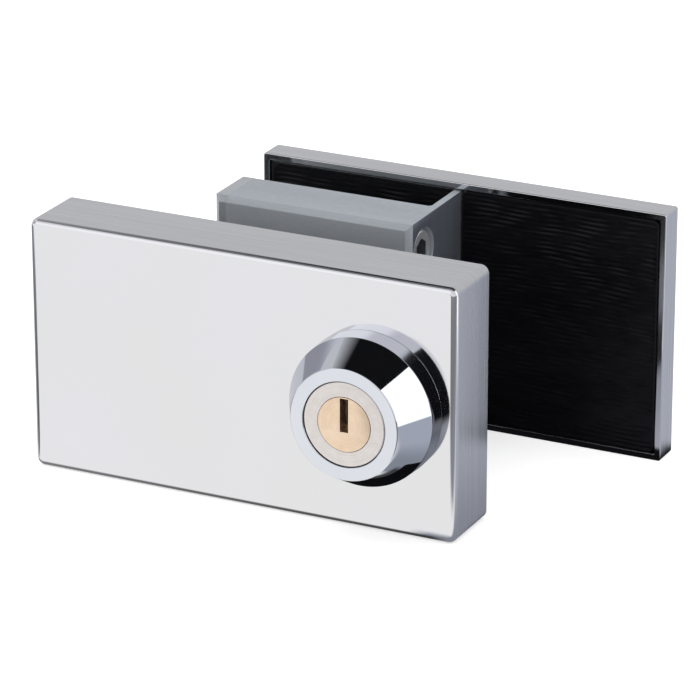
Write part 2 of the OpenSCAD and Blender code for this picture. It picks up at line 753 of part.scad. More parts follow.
front_cover();
rose();
cylinder_body();
cylinder_washer();
cylinder_nut();
key_plug();
wafers();
wafer_springs();
pinion();
pinion_screw();
bolt();
bolt_guide();
guide_screws();
front_base_plate();
base_plate_posts();
base_plate_screws();
front_pad();
rear_cover();
rear_base_plate();
rear_pad();
cover_pads();
lock_case();
faceplate();
case_screws();
foot_screws();
foot_pad();
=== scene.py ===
"""Looks of a key lock for a frameless glass door, in its two halves as they stand before fitting.

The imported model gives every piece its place. The pieces that show are made again here as finer
surfaces: pressed covers, turned rose, barrel, ribbed rubber pads and a bevelled case. All lengths
are in metres, X along the covers, Y away from the key side, Z up.
"""
import logging
import math
from dataclasses import dataclass
from enum import Enum

import bmesh
import bpy
import numpy as np
from bpy.types import Material, Mesh, Node, NodeSocket, NodeTree, Object
from mathutils import Matrix, Vector


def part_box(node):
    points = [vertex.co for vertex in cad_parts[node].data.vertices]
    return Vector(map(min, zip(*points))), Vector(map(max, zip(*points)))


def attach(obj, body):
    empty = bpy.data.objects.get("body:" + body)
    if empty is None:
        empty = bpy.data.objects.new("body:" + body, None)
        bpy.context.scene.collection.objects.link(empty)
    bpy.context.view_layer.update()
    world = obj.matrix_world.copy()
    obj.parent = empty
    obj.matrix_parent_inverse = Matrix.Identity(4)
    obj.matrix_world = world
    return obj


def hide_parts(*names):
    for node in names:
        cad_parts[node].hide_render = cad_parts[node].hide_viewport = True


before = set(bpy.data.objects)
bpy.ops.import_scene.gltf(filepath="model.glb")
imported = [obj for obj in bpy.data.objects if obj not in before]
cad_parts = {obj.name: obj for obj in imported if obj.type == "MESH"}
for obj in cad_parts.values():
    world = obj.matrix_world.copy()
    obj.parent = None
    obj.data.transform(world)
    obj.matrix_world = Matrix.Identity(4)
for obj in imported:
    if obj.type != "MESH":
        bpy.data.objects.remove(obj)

log = logging.getLogger("glass_door_lock")

MM = 0.001
SAME_POINT = 0.001 * MM
SLIVER = 0.0001 * MM
GRAIN_UV = "grain"
EDGE_ATTRIBUTE = "edge"

Pair = tuple[float, float]
Point = tuple[float, float, float]
Color = tuple[float, float, float, float]


class Body(Enum):
    """The bodies of the lock that pieces ride on."""

    FRONT = "front_half"
    PLUG = "plug"
    BOLT = "bolt"
    REAR = "rear_half"


class Slot(Enum):
    """The record's material slots, passed along with the new pieces."""

    STEEL = "satin_steel"
    CHROME = "chrome"
    NICKEL = "nickel"
    BRASS = "brass"
    ZINC = "zinc"
    RUBBER = "rubber"


class Facing(Enum):
    """Which way a cover's closed face looks along Y."""

    FRONT = 1
    BACK = -1


# Meshes


def fillet_profile(points: list[Pair], radii: list[float], steps: int = 6,
                   closed: bool = False, support: float = 0.04 * MM) -> np.ndarray:
    """Rounds the corners of a flat outline.

    At each corner the arc that touches both sides is laid in: its ends lie radius / tan(half the
    corner's angle) from the corner. One more point stands just before and after each arc, so that
    the flat stretches keep their own normals.

    Args:
        points: Corners of the outline, as pairs.
        radii: Radius at each corner, 0 for a plain point.
        steps: Pieces in each arc.
        closed: Whether the last corner joins the first.
        support: Distance of the extra points from an arc's ends.

    Returns:
        The rounded outline, one row for each point.
    """
    corners = np.array(points, float)
    count = len(corners)
    parts = []
    for i, radius in enumerate(radii):
        here = corners[i]
        if radius == 0 or (not closed and i in (0, count - 1)):
            parts.append(here[None])
            continue
        back = corners[i - 1] - here
        ahead = corners[(i + 1) % count] - here
        back /= np.linalg.norm(back)
        ahead /= np.linalg.norm(ahead)
        half = math.acos(float(np.clip(back @ ahead, -1, 1))) / 2
        reach = radius / math.tan(half)
        middle = (back + ahead) / np.linalg.norm(back + ahead)
        centre = here + middle * radius / math.sin(half)
        first = here + back * reach - centre
        last = here + ahead * reach - centre
        sweep = math.atan2(first[0] * last[1] - first[1] * last[0], float(first @ last))
        turn = np.linspace(0, sweep, steps + 1)[:, None]
        across = np.array([-first[1], first[0]])
        arc = centre + first * np.cos(turn) + across * np.sin(turn)
        parts.append(np.vstack([here + back * (reach + support), arc, here + ahead * (reach + support)]))
    return np.vstack(parts)


def rounded_rings(width: float, height: float, radius: float, inset: np.ndarray, least: float = 0.3 * MM,
                  steps: int = 10) -> np.ndarray:
    """Rounded rectangles about the origin, each drawn in from the outline by its own inset.

    A ring's corner is a quarter circle whose radius is the outline's less the inset, but never
    below the least radius. Two corners are joined by a straight side.

    Args:
        width: Width of the outline.
        height: Height of the outline.
        radius: Corner radius of the outline.
        inset: How far each ring is drawn in.
        least: The least corner radius.
        steps: Pieces in each corner.

    Returns:
        Points of shape (points round, rings, 2), counterclockwise.
    """
    angle = np.linspace(0, math.pi / 2, steps + 1)[None] + np.arange(4)[:, None] * math.pi / 2
    normal = np.stack([np.cos(angle), np.sin(angle)], axis=2).reshape(-1, 1, 2)
    side = np.repeat([(1, 1), (-1, 1), (-1, -1), (1, -1)], steps + 1, axis=0)[:, None]
    corner = np.maximum(radius - inset, least)[None, :, None]
    half = np.stack([width / 2 - inset, height / 2 - inset], axis=1)[None]
    return side * (half - corner) + corner * normal


def bent_wave(along: np.ndarray, across: np.ndarray, length: float, bend: float,
              bend_length: float) -> np.ndarray:
    """A wave whose fronts swing: the sine of along over length, plus bend times a slower sine.

    The slower sine is that of across over bend_length.
    """
    return np.sin(along / length + bend * np.sin(across / bend_length))


def grid_mesh(name: str, grid: np.ndarray, close_u: bool = True, close_v: bool = False, poles: bool = False,
              uv: np.ndarray | None = None, edge: np.ndarray | None = None) -> Mesh:
    """Makes a mesh from a grid of points.

    Point (i, j) of the grid is joined to its neighbours in both directions as four-sided faces.
    A closed direction joins its last row to its first. With poles, the first and the last column
    each close on their own middle point. The faces are turned outwards by the sign of the volume.

    Args:
        name: Name of the mesh.
        grid: Array of points, of shape (u, v, 3).
        close_u: Whether the first direction is closed.
        close_v: Whether the second direction is closed.
        poles: Whether the ends of the second direction close on a point.
        uv: Array of shape (u + 1, v, 2) for the piece's own map, or None.
        edge: A number for each v, kept as the edge attribute, or None.

    Returns:
        The new mesh.
    """
    nu, nv = grid.shape[:2]
    vertices = grid.reshape(-1, 3)
    rows = np.arange(nu if close_u else nu - 1)
    columns = np.arange(nv if close_v else nv - 1)
    i, j = (a.ravel() for a in np.meshgrid(rows, columns, indexing="ij"))
    i2, j2 = (i + 1) % nu, (j + 1) % nv
    faces = [np.column_stack([i * nv + j, i2 * nv + j, i2 * nv + j2, i * nv + j2])]
    if uv is not None:
        corners = np.stack([uv[i, j], uv[i + 1, j], uv[i + 1, j2], uv[i, j2]], axis=1).reshape(-1, 2)
    if poles:
        middles = np.array([grid[:, 0].mean(0), grid[:, -1].mean(0)])
        vertices = np.vstack([vertices, middles])
        ring = np.arange(nu)
        after = (ring + 1) % nu
        first, last = len(vertices) - 2, len(vertices) - 1
        caps = [np.column_stack([after * nv, ring * nv, np.full(nu, first)]),
                np.column_stack([ring * nv + nv - 1, after * nv + nv - 1, np.full(nu, last)])]
        if uv is not None:
            flat = [np.stack([uv[ring + 1, c], uv[ring, c], uv[ring, c]], axis=1).reshape(-1, 2)
                    for c in (0, nv - 1)]
            corners = np.vstack([corners, *flat])
        faces += caps
    loops = np.concatenate([f.ravel() for f in faces])
    totals = np.concatenate([np.full(len(f), f.shape[1]) for f in faces])
    mesh = bpy.data.meshes.new(name)
    mesh.vertices.add(len(vertices))
    mesh.vertices.foreach_set("co", vertices.astype(np.float32).ravel())
    mesh.loops.add(len(loops))
    mesh.loops.foreach_set("vertex_index", loops.astype(np.int32))
    mesh.polygons.add(len(totals))
    mesh.polygons.foreach_set("loop_start", np.concatenate([[0], np.cumsum(totals)[:-1]]).astype(np.int32))
    if uv is not None:
        mesh.uv_layers.new(name=GRAIN_UV).data.foreach_set("uv", corners.astype(np.float32).ravel())
    if edge is not None:
        values = np.tile(edge, nu)
        if poles:
            values = np.append(values, [edge[0], edge[-1]])
        layer = mesh.attributes.new(EDGE_ATTRIBUTE, "FLOAT", "POINT")
        layer.data.foreach_set("value", values.astype(np.float32))
    mesh.update(calc_edges=True)
    mesh.validate()
    a, b, c, d = (vertices[faces[0][:, k]] for k in range(4))
    if np.einsum("ij,ij->i", a, np.cross(b, c) + np.cross(c, d)).sum() < 0:
        mesh.flip_normals()
    return mesh


def add_object(name: str, data: bpy.types.ID) -> Object:
    """Puts a mesh, a camera or a lamp into the scene as an object at the origin.

    Args:
        name: Name of the object.
        data: What the object holds.

    Returns:
        The object.
    """
    piece = bpy.data.objects.new(name, data)
    bpy.context.scene.collection.objects.link(piece)
    return piece


def smooth(mesh: Mesh, angle: float = 32) -> None:
    """Shades a mesh smooth, apart from edges sharper than angle, in degrees."""
    mesh.polygons.foreach_set("use_smooth", np.ones(len(mesh.polygons), bool))
    mesh.set_sharp_from_angle(angle=math.radians(angle))


def apply_modifiers(piece: Object) -> None:
    """Replaces a piece's mesh by the result of its modifiers, and clears them.

    Args:
        piece: The piece. Its new mesh takes its name.
    """
    graph = bpy.context.evaluated_depsgraph_get()
    graph.update()
    result = bpy.data.meshes.new_from_object(piece.evaluated_get(graph), depsgraph=graph)
    piece.modifiers.clear()
    old = piece.data
    piece.data = result
    result.name = piece.name
    bpy.data.meshes.remove(old)


def merge_points(mesh: Mesh, distance: float) -> None:
    """Merges points that lie closer than a distance, with the slivers between them.

    Args:
        mesh: The mesh to clean.
        distance: How close two points have to lie.
    """
    work = bmesh.new()
    work.from_mesh(mesh)
    bmesh.ops.remove_doubles(work, verts=work.verts, dist=distance)
    bmesh.ops.dissolve_degenerate(work, edges=work.edges, dist=distance)
    work.to_mesh(mesh)
    work.free()


def face_values(mesh: Mesh, name: str) -> np.ndarray:
    """The center or the normal of every face, one row for each.

    Args:
        mesh: The mesh.
        name: Which of the two: center or normal.

    Returns:
        The values.
    """
    values = np.empty(len(mesh.polygons) * 3, np.float32)
    mesh.polygons.foreach_get(name, values)
    return values.reshape(-1, 3)


def paint_faces(mesh: Mesh, numbers: np.ndarray) -> None:
    """Gives every face the material of its number."""
    mesh.polygons.foreach_set("material_index", numbers.astype(np.int32))


def cut(piece: Object, cutters: list[Mesh]) -> None:
    """Takes each cutter's volume away from a piece and removes the cutters.

    Args:
        piece: The piece to cut.
        cutters: Closed meshes.
    """
    for cutter in cutters:
        step = piece.modifiers.new("cut", "BOOLEAN")
        step.operation = "DIFFERENCE"
        step.solver = "EXACT"
        step.object = add_object(cutter.name, cutter)
    apply_modifiers(piece)
    for cutter in cutters:
        bpy.data.meshes.remove(cutter)


def turned_mesh(name: str, profile: np.ndarray, centre: Pair, steps: int, along_z: bool = False,
                closed: bool = True, radius: np.ndarray | None = None) -> Mesh:
    """A profile of (radius, height) turned about an axis that lies along Y or Z.

    The point at angle a and profile point (r, h) stands at the axis plus (r cos a, r sin a) across
    it, and at h along it.

    Args:
        name: Name of the mesh.
        profile: The outline, one (radius, height) row for each point.
        centre: The axis's place in the two other directions.
        steps: Points round the axis.
        along_z: Whether the axis lies along Z instead of Y.
        closed: Whether the outline closes on itself. One that doesn't makes a solid, with both of
            its ends closed on the axis.
        radius: Radii of shape (steps, points) that take the place of the profile's, or None.

    Returns:
        The new mesh.
    """
    angle = np.linspace(0, 2 * math.pi, steps, endpoint=False)[:, None]
    radius = profile[None, :, 0] if radius is None else radius
    first = radius * np.cos(angle) + centre[0]
    second = radius * np.sin(angle) + centre[1]
    along = np.broadcast_to(profile[:, 1], first.shape)
    order = [first, second, along] if along_z else [first, along, second]
    return grid_mesh(name, np.stack(order, axis=2), close_v=closed, poles=not closed)


def box_mesh(name: str, low: Point, high: Point) -> Mesh:
    """A plain box between two corners, used to cut with.

    Args:
        name: Name of the mesh.
        low: The corner with the least values.
        high: The corner opposite.

    Returns:
        The box.
    """
    x, y, z = zip(low, high)
    loop = np.array([(x[0], z[0]), (x[1], z[0]), (x[1], z[1]), (x[0], z[1])])
    grid = np.stack([np.column_stack([loop[:, 0], np.full(4, depth), loop[:, 1]]) for depth in y], axis=1)
    return grid_mesh(name, grid, poles=True)


def sheet_object(name: str, low: Point, high: Point) -> Object:
    """One flat face between two opposite corners, which share one of their three values.

    Args:
        name: Name of the mesh and of the object.
        low: One corner.
        high: The corner opposite.

    Returns:
        The object.
    """
    u, v = (axis for axis in range(3) if low[axis] != high[axis])
    second, last = list(low), list(low)
    second[u], last[v] = high[u], high[v]
    mesh = bpy.data.meshes.new(name)
    mesh.from_pydata([low, second, high, last], [], [(0, 1, 2, 3)])
    return add_object(name, mesh)


# Shader helpers


class Tree:
    """A node tree with short ways to add and join nodes."""

    def __init__(self, tree: NodeTree) -> None:
        """Wraps a node tree."""
        self.tree = tree

    def add(self, kind: str, inputs: dict[str | int, object] | None = None, **settings: object) -> Node:
        """Adds a node.

        Args:
            kind: Blender's name of the node type.
            inputs: Values or output sockets for the node's inputs, by name or number.
            settings: Settings of the node itself.

        Returns:
            The new node.
        """
        node = self.tree.nodes.new(kind)
        for key, value in settings.items():
            setattr(node, key, value)
        for key, value in (inputs or {}).items():
            self.feed(node.inputs[key], value)
        return node

    def feed(self, socket: NodeSocket, value: object) -> None:
        """Links an output to a socket, or sets the socket's own value.

        Args:
            socket: The input socket.
            value: The output socket, or a plain value.
        """
        if isinstance(value, NodeSocket):
            self.tree.links.new(value, socket)
        else:
            socket.default_value = value

    def math(self, operation: str, *values: object) -> NodeSocket:
        """One step of arithmetic on numbers or sockets."""
        return self.add("ShaderNodeMath", dict(enumerate(values)), operation=operation).outputs[0]

    def times(self, *values: object) -> NodeSocket:
        """The product of two or more numbers or sockets.

        Args:
            values: The numbers or sockets.

        Returns:
            The product.
        """
        product = values[0]
        for value in values[1:]:
            product = self.math("MULTIPLY", product, value)
        return product

    def line(self, value: object, slope: float, start: float) -> NodeSocket:
        """Start plus slope times a value."""
        return self.math("ADD", self.times(value, slope), start)

    def blend(self, first: object, second: object, share: float) -> NodeSocket:
        """The sum of two numbers, the first taken by a share and the second by the rest."""
        return self.math("ADD", self.times(first, share), self.times(second, 1 - share))

    def vector(self, operation: str, *values: object) -> NodeSocket:
        """One step of arithmetic on vectors."""
        node = self.add("ShaderNodeVectorMath", dict(enumerate(values)), operation=operation)
        return node.outputs["Value" if operation in ("LENGTH", "DOT_PRODUCT") else "Vector"]

    def spread(self, value: object, low: float, high: float, to_low: float = 0, to_high: float = 1,
               kind: str = "LINEAR") -> NodeSocket:
        """Carries a value from one range to another and holds it there."""
        ends = {"Value": value, "From Min": low, "From Max": high, "To Min": to_low, "To Max": to_high}
        return self.add("ShaderNodeMapRange", ends, interpolation_type=kind).outputs["Result"]

    def mix(self, share: object, first: object, second: object) -> NodeSocket:
        """Mixes two colours by a share from 0 to 1.

        Args:
            share: How much of the second colour is taken.
            first: The first colour.
            second: The second colour.

        Returns:
            The mixed colour.
        """
        node = self.add("ShaderNodeMix", data_type="RGBA")
        self.feed(node.inputs[0], share)
        self.feed(node.inputs[6], first)
        self.feed(node.inputs[7], second)
        return node.outputs[2]

    def noise(self, vector: object, spread: Pair, detail: float, rough: float = 0.55) -> NodeSocket:
        """Smooth noise, whose middle range is spread out from 0 to 1."""
        values = {"Vector": vector, "Scale": 1.0, "Detail": detail, "Roughness": rough}
        return self.spread(self.add("ShaderNodeTexNoise", values).outputs[0], *spread)


def rgb(red: float, green: float, blue: float) -> Color:
    """A colour with full alpha."""
    return (red, green, blue, 1.0)


WHITE = rgb(1, 1, 1)


class Groups:
    """The node groups that several finishes share, each built once."""

    def __init__(self) -> None:
        """Builds the groups."""
        self.streaks = self._streaks()
        self.rings = self._rings()
        self.speckle = self._speckle()

    @staticmethod
    def _open(name: str, inputs: dict[str, float | None], *outputs: str) -> tuple[Tree, dict, Node]:
        """Starts a group with named inputs and number outputs.

        Args:
            name: Name of the group.
            inputs: Its inputs, each with the value of a number, or None for a vector.
            outputs: Names of its outputs.

        Returns:
            The tree, its input sockets by name, and the node that takes the outputs.
        """
        group = bpy.data.node_groups.new(name, "ShaderNodeTree")
        for label, value in inputs.items():
            kind = "NodeSocketVector" if value is None else "NodeSocketFloat"
            socket = group.interface.new_socket(label, in_out="INPUT", socket_type=kind)
            if value is not None:
                socket.default_value = value
        for label in outputs:
            group.interface.new_socket(label, in_out="OUTPUT", socket_type="NodeSocketFloat")
        tree = Tree(group)
        given = tree.add("NodeGroupInput")
        result = tree.add("NodeGroupOutput")
        return tree, {s.name: s for s in given.outputs if s.name}, result

    def _streaks(self) -> NodeTree:
        """Brush marks: noise drawn out along the first direction, in a fine and a broad layer.

        Returns:
            The node group.
        """
        inputs = {"Vector": None, "Along": 20.0, "Across": 2600.0}
        tree, given, result = self._open("brush_streaks", inputs, "Fine", "Broad")
        for label, share in (("Fine", 1.0), ("Broad", 0.16)):
            across = tree.times(given["Across"], share)
            along = tree.times(given["Along"], math.sqrt(share))
            scale = tree.add("ShaderNodeCombineXYZ", {"X": along, "Y": across, "Z": across})
            place = tree.vector("MULTIPLY", given["Vector"], scale.outputs[0])
            tree.feed(result.inputs[label], tree.noise(place, (0.28, 0.72), detail=4, rough=0.6))
        return tree.tree

    def _rings(self) -> NodeTree:
        """Turning marks: noise that changes with the distance from an axis along Y.

        Returns:
            The node group.
        """
        inputs = {"Vector": None, "Centre": None, "Pitch": 3000.0}
        tree, given, result = self._open("turning_rings", inputs, "Ring")
        offset = tree.vector("SUBTRACT", given["Vector"], given["Centre"])
        flat = tree.vector("MULTIPLY", offset, (1.0, 0.0, 1.0))
        turns = tree.times(tree.vector("LENGTH", flat), given["Pitch"])
        place = tree.add("ShaderNodeCombineXYZ", {"X": turns})
        tree.feed(result.inputs["Ring"], tree.noise(place.outputs[0], (0.3, 0.7), detail=2))
        return tree.tree

    def _speckle(self) -> NodeTree:
        """Fine grain and slow clouds, for blasted, moulded and plated skins.

        Returns:
            The node group.
        """
        inputs = {"Vector": None, "Scale": 3000.0, "Cloud": 40.0}
        tree, given, result = self._open("skin_speckle", inputs, "Grain", "Cloud")
        for label, source in (("Grain", "Scale"), ("Cloud", "Cloud")):
            place = tree.vector("SCALE", given["Vector"])
            tree.feed(place.node.inputs["Scale"], given[source])
            tree.feed(result.inputs[label], tree.noise(place, (0.3, 0.7), detail=3))
        return tree.tree


class PieceMaterial(Tree):
    """A material whose Principled shader is fed by nodes."""

    def __init__(self, name: str, metallic: float, **fixed: float) -> None:
        """Starts a material.

        Args:
            name: The material's name.
            metallic: 1 for metal, 0 for anything else.
            fixed: More plain values for the shader's sockets, with _ for a space.
        """
        self.material = bpy.data.materials.new(name)
        self.material.use_nodes = True
        super().__init__(self.material.node_tree)
        self.shader = self.tree.nodes["Principled BSDF"]
        self.shader.inputs["Metallic"].default_value = metallic
        for key, value in fixed.items():
            self.shader.inputs[key.replace("_", " ")].default_value = value

    def object_place(self) -> NodeSocket:
        """Where a point stands on the piece, in the lock's own frame."""
        return self.add("ShaderNodeTexCoord").outputs["Object"]

    def grain_place(self) -> NodeSocket:
        """Where a point stands on the piece's own map, along and across the brushing."""
        return self.add("ShaderNodeUVMap", uv_map=GRAIN_UV).outputs[0]

    def edged(self, rough: object, edge_rough: float) -> tuple[NodeSocket, NodeSocket]:
        """Gives rounded edges, which the piece's attribute marks, a roughness of their own.

        Args:
            rough: Roughness of the flats.
            edge_rough: Roughness of the edges.

        Returns:
            The roughness, and a mask that is 1 on the flats and 0 on an edge.
        """
        edge = self.add("ShaderNodeAttribute", attribute_name=EDGE_ATTRIBUTE).outputs["Fac"]
        even = self.math("SUBTRACT", 1.0, edge)
        return self.math("ADD", self.times(rough, even), self.times(edge, edge_rough)), even

    def group(self, group: NodeTree, **inputs: object) -> dict[str, NodeSocket]:
        """Places a shared group and returns its outputs by name.

        Args:
            group: The group.
            inputs: Values or sockets for its inputs, by name.

        Returns:
            Its outputs, by name.
        """
        node = self.add("ShaderNodeGroup", node_tree=group)
        for key, value in inputs.items():
            self.feed(node.inputs[key], value)
        return {s.name: s for s in node.outputs}

    def finish(self, color: object, rough: object, height: object = None, depth: float = 0.0) -> Material:
        """Feeds the shader.

        Args:
            color: Base colour, or the socket that gives it.
            rough: Roughness, or the socket that gives it.
            height: Height from 0 to 1 for the bump, or None.
            depth: How deep a height of 1 is.

        Returns:
            The finished material.
        """
        self.feed(self.shader.inputs["Base Color"], color)
        self.feed(self.shader.inputs["Roughness"], rough)
        if height is not None:
            bump = self.add("ShaderNodeBump", {"Height": height, "Distance": depth, "Strength": 1.0})
            self.feed(self.shader.inputs["Normal"], bump.outputs[0])
        return self.material


# Finishes


@dataclass(frozen=True)
class BrushedSteel:
    """Stainless steel brushed along a piece's own map, with bright polished edges."""

    name: str
    along: float
    across: float = 2400.0
    dark: Color = rgb(0.68, 0.685, 0.70)
    light: Color = rgb(0.84, 0.845, 0.86)
    rough: float = 0.25
    rough_range: float = 0.12
    edge_rough: float = 0.09
    fine_share: float = 0.55
    depth: float = 0.008 * MM
    by_map: bool = True

    def build(self, groups: Groups) -> Material:
        """Makes the material.

        Args:
            groups: The node groups that the finishes share.

        Returns:
            The material.
        """
        m = PieceMaterial(self.name, 1.0)
        place = m.grain_place() if self.by_map else m.object_place()
        marks = m.group(groups.streaks, Vector=place, Along=self.along, Across=self.across)
        both = m.blend(marks["Fine"], marks["Broad"], self.fine_share)
        color = m.mix(both, self.dark, self.light)
        rough = m.line(both, self.rough_range, self.rough - self.rough_range / 2)
        if self.by_map:
            rough, even = m.edged(rough, self.edge_rough)
            both = m.times(both, even)
        return m.finish(color, rough, both, self.depth)


@dataclass(frozen=True)
class Turned:
    """A metal face turned on a lathe about the lock axis, with worn spots."""

    name: str
    color: Color
    shade: Color
    centre: Point
    rough: float
    rough_range: float = 0.1
    pitch: float = 2600.0
    scale: float = 2600.0
    cloud: float = 420.0
    grain_share: float = 0.4
    depth: float = 0.004 * MM

    def build(self, groups: Groups) -> Material:
        """Makes the material.

        Args:
            groups: The node groups that the finishes share.

        Returns:
            The material.
        """
        m = PieceMaterial(self.name, 1.0)
        place = m.object_place()
        rings = m.group(groups.rings, Vector=place, Centre=self.centre, Pitch=self.pitch)
        skin = m.group(groups.speckle, Vector=place, Scale=self.scale, Cloud=self.cloud)
        share = m.times(m.math("ADD", rings["Ring"], skin["Cloud"]), 0.5)
        color = m.mix(share, self.color, self.shade)
        rough = m.line(skin["Grain"], self.rough_range, self.rough)
        height = m.math("ADD", rings["Ring"], m.times(skin["Grain"], self.grain_share))
        return m.finish(color, rough, height, self.depth)


@dataclass(frozen=True)
class Skin:
    """A finish of fine grain and slow clouds: polished, cast or plated metal, rubber or foam."""

    name: str
    color: Color
    shade: Color
    metallic: float
    rough: float
    rough_range: float = 0.12
    rough_by: str = "Grain"
    edge_rough: float | None = None
    scale: float = 3000.0
    cloud: float = 60.0
    cloud_share: float = 0.65
    depth: float = 0.006 * MM
    stretch: Point = (1.0, 1.0, 1.0)
    specular: float = 0.5

    def build(self, groups: Groups) -> Material:
        """Makes the material.

        Args:
            groups: The node groups that the finishes share.

        Returns:
            The material.
        """
        m = PieceMaterial(self.name, self.metallic, Specular_IOR_Level=self.specular)
        place = m.vector("MULTIPLY", m.object_place(), self.stretch)
        skin = m.group(groups.speckle, Vector=place, Scale=self.scale, Cloud=self.cloud)
        both = m.blend(skin["Cloud"], skin["Grain"], self.cloud_share)
        color = m.mix(both, self.color, self.shade)
        rough = m.line(skin[self.rough_by], self.rough_range, self.rough - self.rough_range / 2)
        height = skin["Grain"]
        if self.edge_rough is not None:
            rough, even = m.edged(rough, self.edge_rough)
            height = m.times(height, even)
        return m.finish(color, rough, height, self.depth)


class Finishes:
    """Every material of the lock, made once."""

    def __init__(self, axis: Point) -> None:
        """Builds the materials.

        Args:
            axis: A point on the lock axis.
        """
        groups = Groups()
        self.sides = BrushedSteel("brushed_steel", 26.0).build(groups)
        self.steel = BrushedSteel("brushed_steel_parts", 60.0, by_map=False).build(groups)
        self.face = Skin("polished_face", rgb(0.78, 0.78, 0.815), rgb(0.77, 0.77, 0.765), 1.0, 0.075,
                         rough_range=0.02, edge_rough=0.14, scale=5200.0, cloud=26.0, cloud_share=1.0,
                         depth=0.0002 * MM).build(groups)
        self.chrome = Skin("polished_chrome", rgb(0.73, 0.755, 0.80), rgb(0.71, 0.735, 0.785), 1.0, 0.045,
                           rough_range=0.02, rough_by="Cloud", scale=420.0, cloud=90.0, cloud_share=1.0,
                           depth=0.0006 * MM).build(groups)
        self.nickel = Turned("turned_nickel", rgb(0.85, 0.81, 0.79), rgb(0.70, 0.65, 0.62), axis,
                             0.3).build(groups)
        self.brass = Turned("turned_brass", rgb(0.96, 0.78, 0.60), rgb(0.83, 0.62, 0.44), axis,
                            0.34).build(groups)
        self.wafer = Skin("wafer_brass", rgb(0.72, 0.52, 0.26), rgb(0.55, 0.38, 0.18), 1.0,
                          0.35).build(groups)
        self.zinc = Skin("cast_zinc", rgb(0.44, 0.472, 0.508), rgb(0.35, 0.378, 0.414), 0.25, 0.55,
                         scale=2400.0, cloud=90.0, stretch=(0.25, 1.0, 1.0)).build(groups)
        self.machined = Skin("machined_zinc", rgb(0.50, 0.55, 0.65), rgb(0.41, 0.45, 0.54), 0.86, 0.34,
                             scale=2600.0, cloud=260.0, depth=0.002 * MM,
                             stretch=(1.0, 1.0, 0.12)).build(groups)
        self.faceplate = Skin("satin_faceplate", rgb(0.54, 0.565, 0.59), rgb(0.46, 0.485, 0.51), 0.55, 0.38,
                              scale=2600.0, cloud=120.0, depth=0.004 * MM,
                              stretch=(1.0, 0.2, 1.0)).build(groups)
        self.screw = Skin("bright_screw", rgb(0.80, 0.83, 0.88), rgb(0.68, 0.71, 0.76), 0.68, 0.2,
                          depth=0.001 * MM).build(groups)
        # Painted shade: the screws' hex sockets take a dark colour in place of the shade inside them.
        self.socket = Skin("socket_painted_shade", rgb(0.22, 0.23, 0.26), rgb(0.13, 0.14, 0.16), 0.7, 0.3,
                           depth=0.001 * MM).build(groups)
        self.plated = Skin("plated_steel", rgb(0.55, 0.55, 0.57), rgb(0.38, 0.38, 0.40), 1.0,
                           0.4).build(groups)
        self.rubber = Skin("ribbed_rubber", rgb(0.002, 0.002, 0.0025), rgb(0.006, 0.006, 0.008), 0.0, 0.36,
                           scale=1500.0, cloud=120.0, depth=0.02 * MM, stretch=(0.2, 1.0, 1.0),
                           specular=0.17).build(groups)
        self.foam = Skin("closed_foam", rgb(0.80, 0.80, 0.78), rgb(0.70, 0.70, 0.68), 0.0, 0.85,
                         scale=1800.0, cloud=300.0, depth=0.03 * MM).build(groups)


# Pieces


def lock_axis() -> Vector:
    """A point on the lock axis, in the plane of the front cover's face.

    Returns:
        The point.
    """
    low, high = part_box("rose")
    middle = (low + high) / 2
    return Vector((middle.x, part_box("front_cover")[0].y, middle.z))


